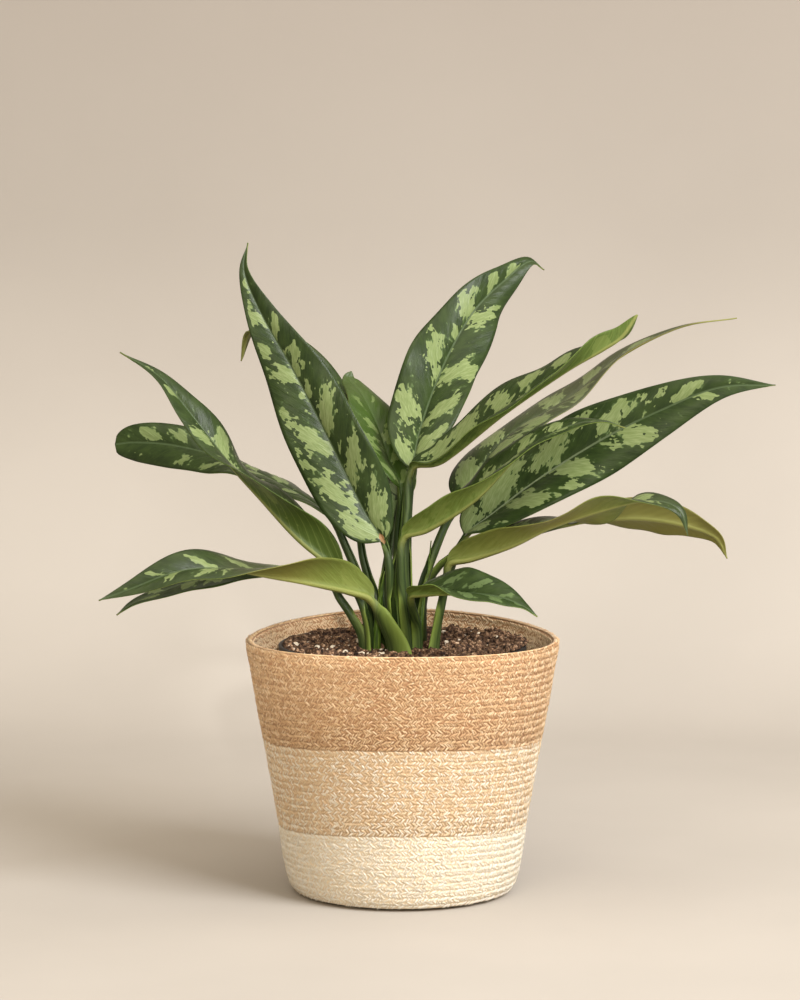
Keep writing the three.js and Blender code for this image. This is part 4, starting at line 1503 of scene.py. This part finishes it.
def upper_skin():
    look = LeafLook("leaf_upper", 0.3, Specular_IOR_Level=0.22)
    field = look.blotches()
    fine = look.streaks(14, 1.6)
    broad = look.streaks(1.6, 0.8, 2.0)
    dark = look.blend(look.cut(broad, 0.35, 0.7), DARK_GREEN, MOSS_GREEN)
    dark = look.blend(look.cut(fine, 0.52, 0.75), dark, MOSS_GREEN)
    pale = look.blend(look.cut(fine, 0.4, 0.7), PALE_GREEN, SILVER_GREEN)
    pale = look.blend(look.attribute("dull"), pale, MIDDLE_GREEN)
    half_tone = look.times(look.cut(field, 0.3, 0.42), look.cut(broad, 0.5, 0.6))
    colour = look.blend(half_tone, dark, MIDDLE_GREEN)
    colour = look.blend(look.cut(field, 0.45, 0.5), colour, pale)
    rib = look.cut(look.plus(look.attribute("away"), look.sway(fine, 0.05)), 0.085, 0.05)
    # The pale midrib is partly the leaf's own colour and partly a painted sheen.
    rib_colour_and_sheen = look.blend(look.attribute("rib"), RIB_GREEN, RIB_SHEEN_PALE)
    colour = look.blend(look.times(rib, 0.85), colour, rib_colour_and_sheen)
    colour = look.blend(look.times(look.attribute("olive"), 0.5), colour, TAUPE)
    # Painted light: leaves that carry it are blended toward a glow of light through the leaf.
    colour = look.blend(look.attribute("lit"), colour, PAINTED_GLOW_GREEN)
    scar = look.cut(look.plus(look.attribute("scar"), look.sway(fine, 0.8)), 0.45, 0.55)
    colour = look.blend(scar, colour, SCAR_BROWN)
    colour = look.blend(look.attribute("blade"), look.stalk(), colour)
    look.let_through(colour, srgb(235, 245, 165), 0.14)
    look.relief(fine, 0.0002)
    return look


UPPER_SKIN = upper_skin()
print("nodes in the upper skin:", len(UPPER_SKIN.tree.nodes))

# %% [markdown]
# The underside is duller, a yellower green, and lets more light through. The blotches show faintly,
# the side veins as pale lines, and the keel as a pale stripe. Where a sheath opens, its wings are
# pale.

# %% Under skin
UNDER_GREEN = srgb(96, 116, 46)
UNDER_STREAK = srgb(116, 140, 66)
UNDER_PALE = srgb(136, 152, 80)
UNDER_RIB = srgb(158, 162, 92)
# Painted shade: the darker underside of leaves that carry deep.
SHADED_UNDER_GREEN = srgb(58, 82, 26)
OLIVE = srgb(126, 124, 60)
WING_PALE = srgb(136, 158, 70)


def under_skin():
    look = LeafLook("leaf_under", 0.5, Specular_IOR_Level=0.35)
    field = look.blotches()
    fine = look.streaks(12, 1.4)
    colour = look.blend(look.cut(fine, 0.35, 0.75), UNDER_GREEN, UNDER_STREAK)
    # Painted shade: undersides are darkened by how much deep each leaf carries.
    colour = look.blend(look.attribute("deep"), colour, SHADED_UNDER_GREEN)
    colour = look.blend(look.times(look.cut(field, 0.44, 0.54), 0.35), colour, UNDER_PALE)
    lines = look.cut(look.side_veins(), 0.86, 1.0)
    colour = look.blend(look.times(lines, 0.3), colour, UNDER_PALE)
    colour = look.blend(look.attribute("olive"), colour, OLIVE)
    rib = look.cut(look.attribute("away"), 0.14, 0.06)
    colour = look.blend(look.times(rib, 0.6), colour, UNDER_RIB)
    stalk = look.blend(look.attribute("wing"), look.stalk(), WING_PALE)
    colour = look.blend(look.attribute("blade"), stalk, colour)
    look.let_through(colour, srgb(235, 245, 120), 0.24)
    look.relief(fine, 0.00018)
    return look


UNDER_SKIN = under_skin()
print("nodes in the under skin:", len(UNDER_SKIN.tree.nodes))

# %% [markdown]
# Everything is in place for the leaves now: each entry of the table becomes a sheet with its two
# skins, and the sheet gets its thickness.

# %% Leaves
for number, (name, leaf) in enumerate(LEAVES.items()):
    sheet = leaf_sheet(name, leaf, number)
    made = piece("foliage_" + name, sheet, [UPPER_SKIN, UNDER_SKIN], [name])
    thicken(made)


# %% [markdown]
# Between the stalks stand the three canes, each wrapped in a sheath that ends in a thin point, like a
# spear. They are rolled from a grid as the stalks are, but the roll closes at the foot and the sheet
# narrows to its point, with one margin over the other.

# %% Sheathed canes
# Canes: radius at the foot, turn of the open side, points up the middle
STEMS = {
    "stem_left": (4.2, -1.9, [[-16, -7, 118], [-18, -7, 150], [-17, -10, 190], [-12, -13, 224]]),
    "stem_centre": (4.4, -1.2, [[-4, -9, 115], [-3, -9, 165], [-3, -9, 215], [1, -6, 282]]),
    "stem_right": (4.2, -0.6, [[11, -3, 118], [12, -2, 150], [13, -2, 190], [20, 2, 243]]),
}
CANE_TIP = 1.0
CANE_ROWS = 60
CANE_COLUMNS = 22
CANE_WALL = 0.9
CANE_LAP = 0.5


def cane_sheet(foot, facing, points):
    """A rolled pointed sheet round a cane. facing turns its open side."""
    sheet = bmesh.new()
    veins = sheet.loops.layers.uv.new("veins")
    bmesh.ops.create_grid(sheet, x_segments=CANE_COLUMNS, y_segments=CANE_ROWS, size=1)
    line = [Vector(point) for point in points]
    mapped = {}
    for vert in sheet.verts:
        v, share = vert.co.x, (vert.co.y + 1) / 2
        radius = foot + (CANE_TIP - foot) * share ** 1.5 - CANE_WALL
        wrap = math.pi * (1.05 - 0.95 * soft_step(0.55, 1, share))
        lap = CANE_LAP * v * (1 - share)
        vert.co = (smooth_curve(line, share) + compass(facing + wrap * v) * (radius + lap)) * MM
        mapped[vert] = (14 * share, 0.1 * radius * wrap * v)
    for face in sheet.faces:
        for loop in face.loops:
            loop[veins].uv = mapped[loop.vert]
    bmesh.ops.recalc_face_normals(sheet, faces=sheet.faces[:])
    return sheet


def cane_skin():
    look = LeafLook("stem_sheath", 0.42, Specular_IOR_Level=0.4)
    fine = look.streaks(0.6, 12)
    colour = look.ramp(fine, [
        (0.35, srgb(58, 84, 24)), (0.55, srgb(96, 126, 44)), (0.7, srgb(138, 160, 74)),
    ])
    look.let_through(colour, srgb(235, 245, 110), 0.25)
    look.bump(fine, 0.0002)
    return look


CANE_SKIN = cane_skin()
for name, (foot, facing, points) in STEMS.items():
    made = piece("sheath_" + name, cane_sheet(foot, facing, points), [CANE_SKIN], [name])
    wrapped = made.modifiers.new("thickness", "SOLIDIFY")
    wrapped.thickness = CANE_WALL * MM
    wrapped.offset = 1


# %% [markdown]
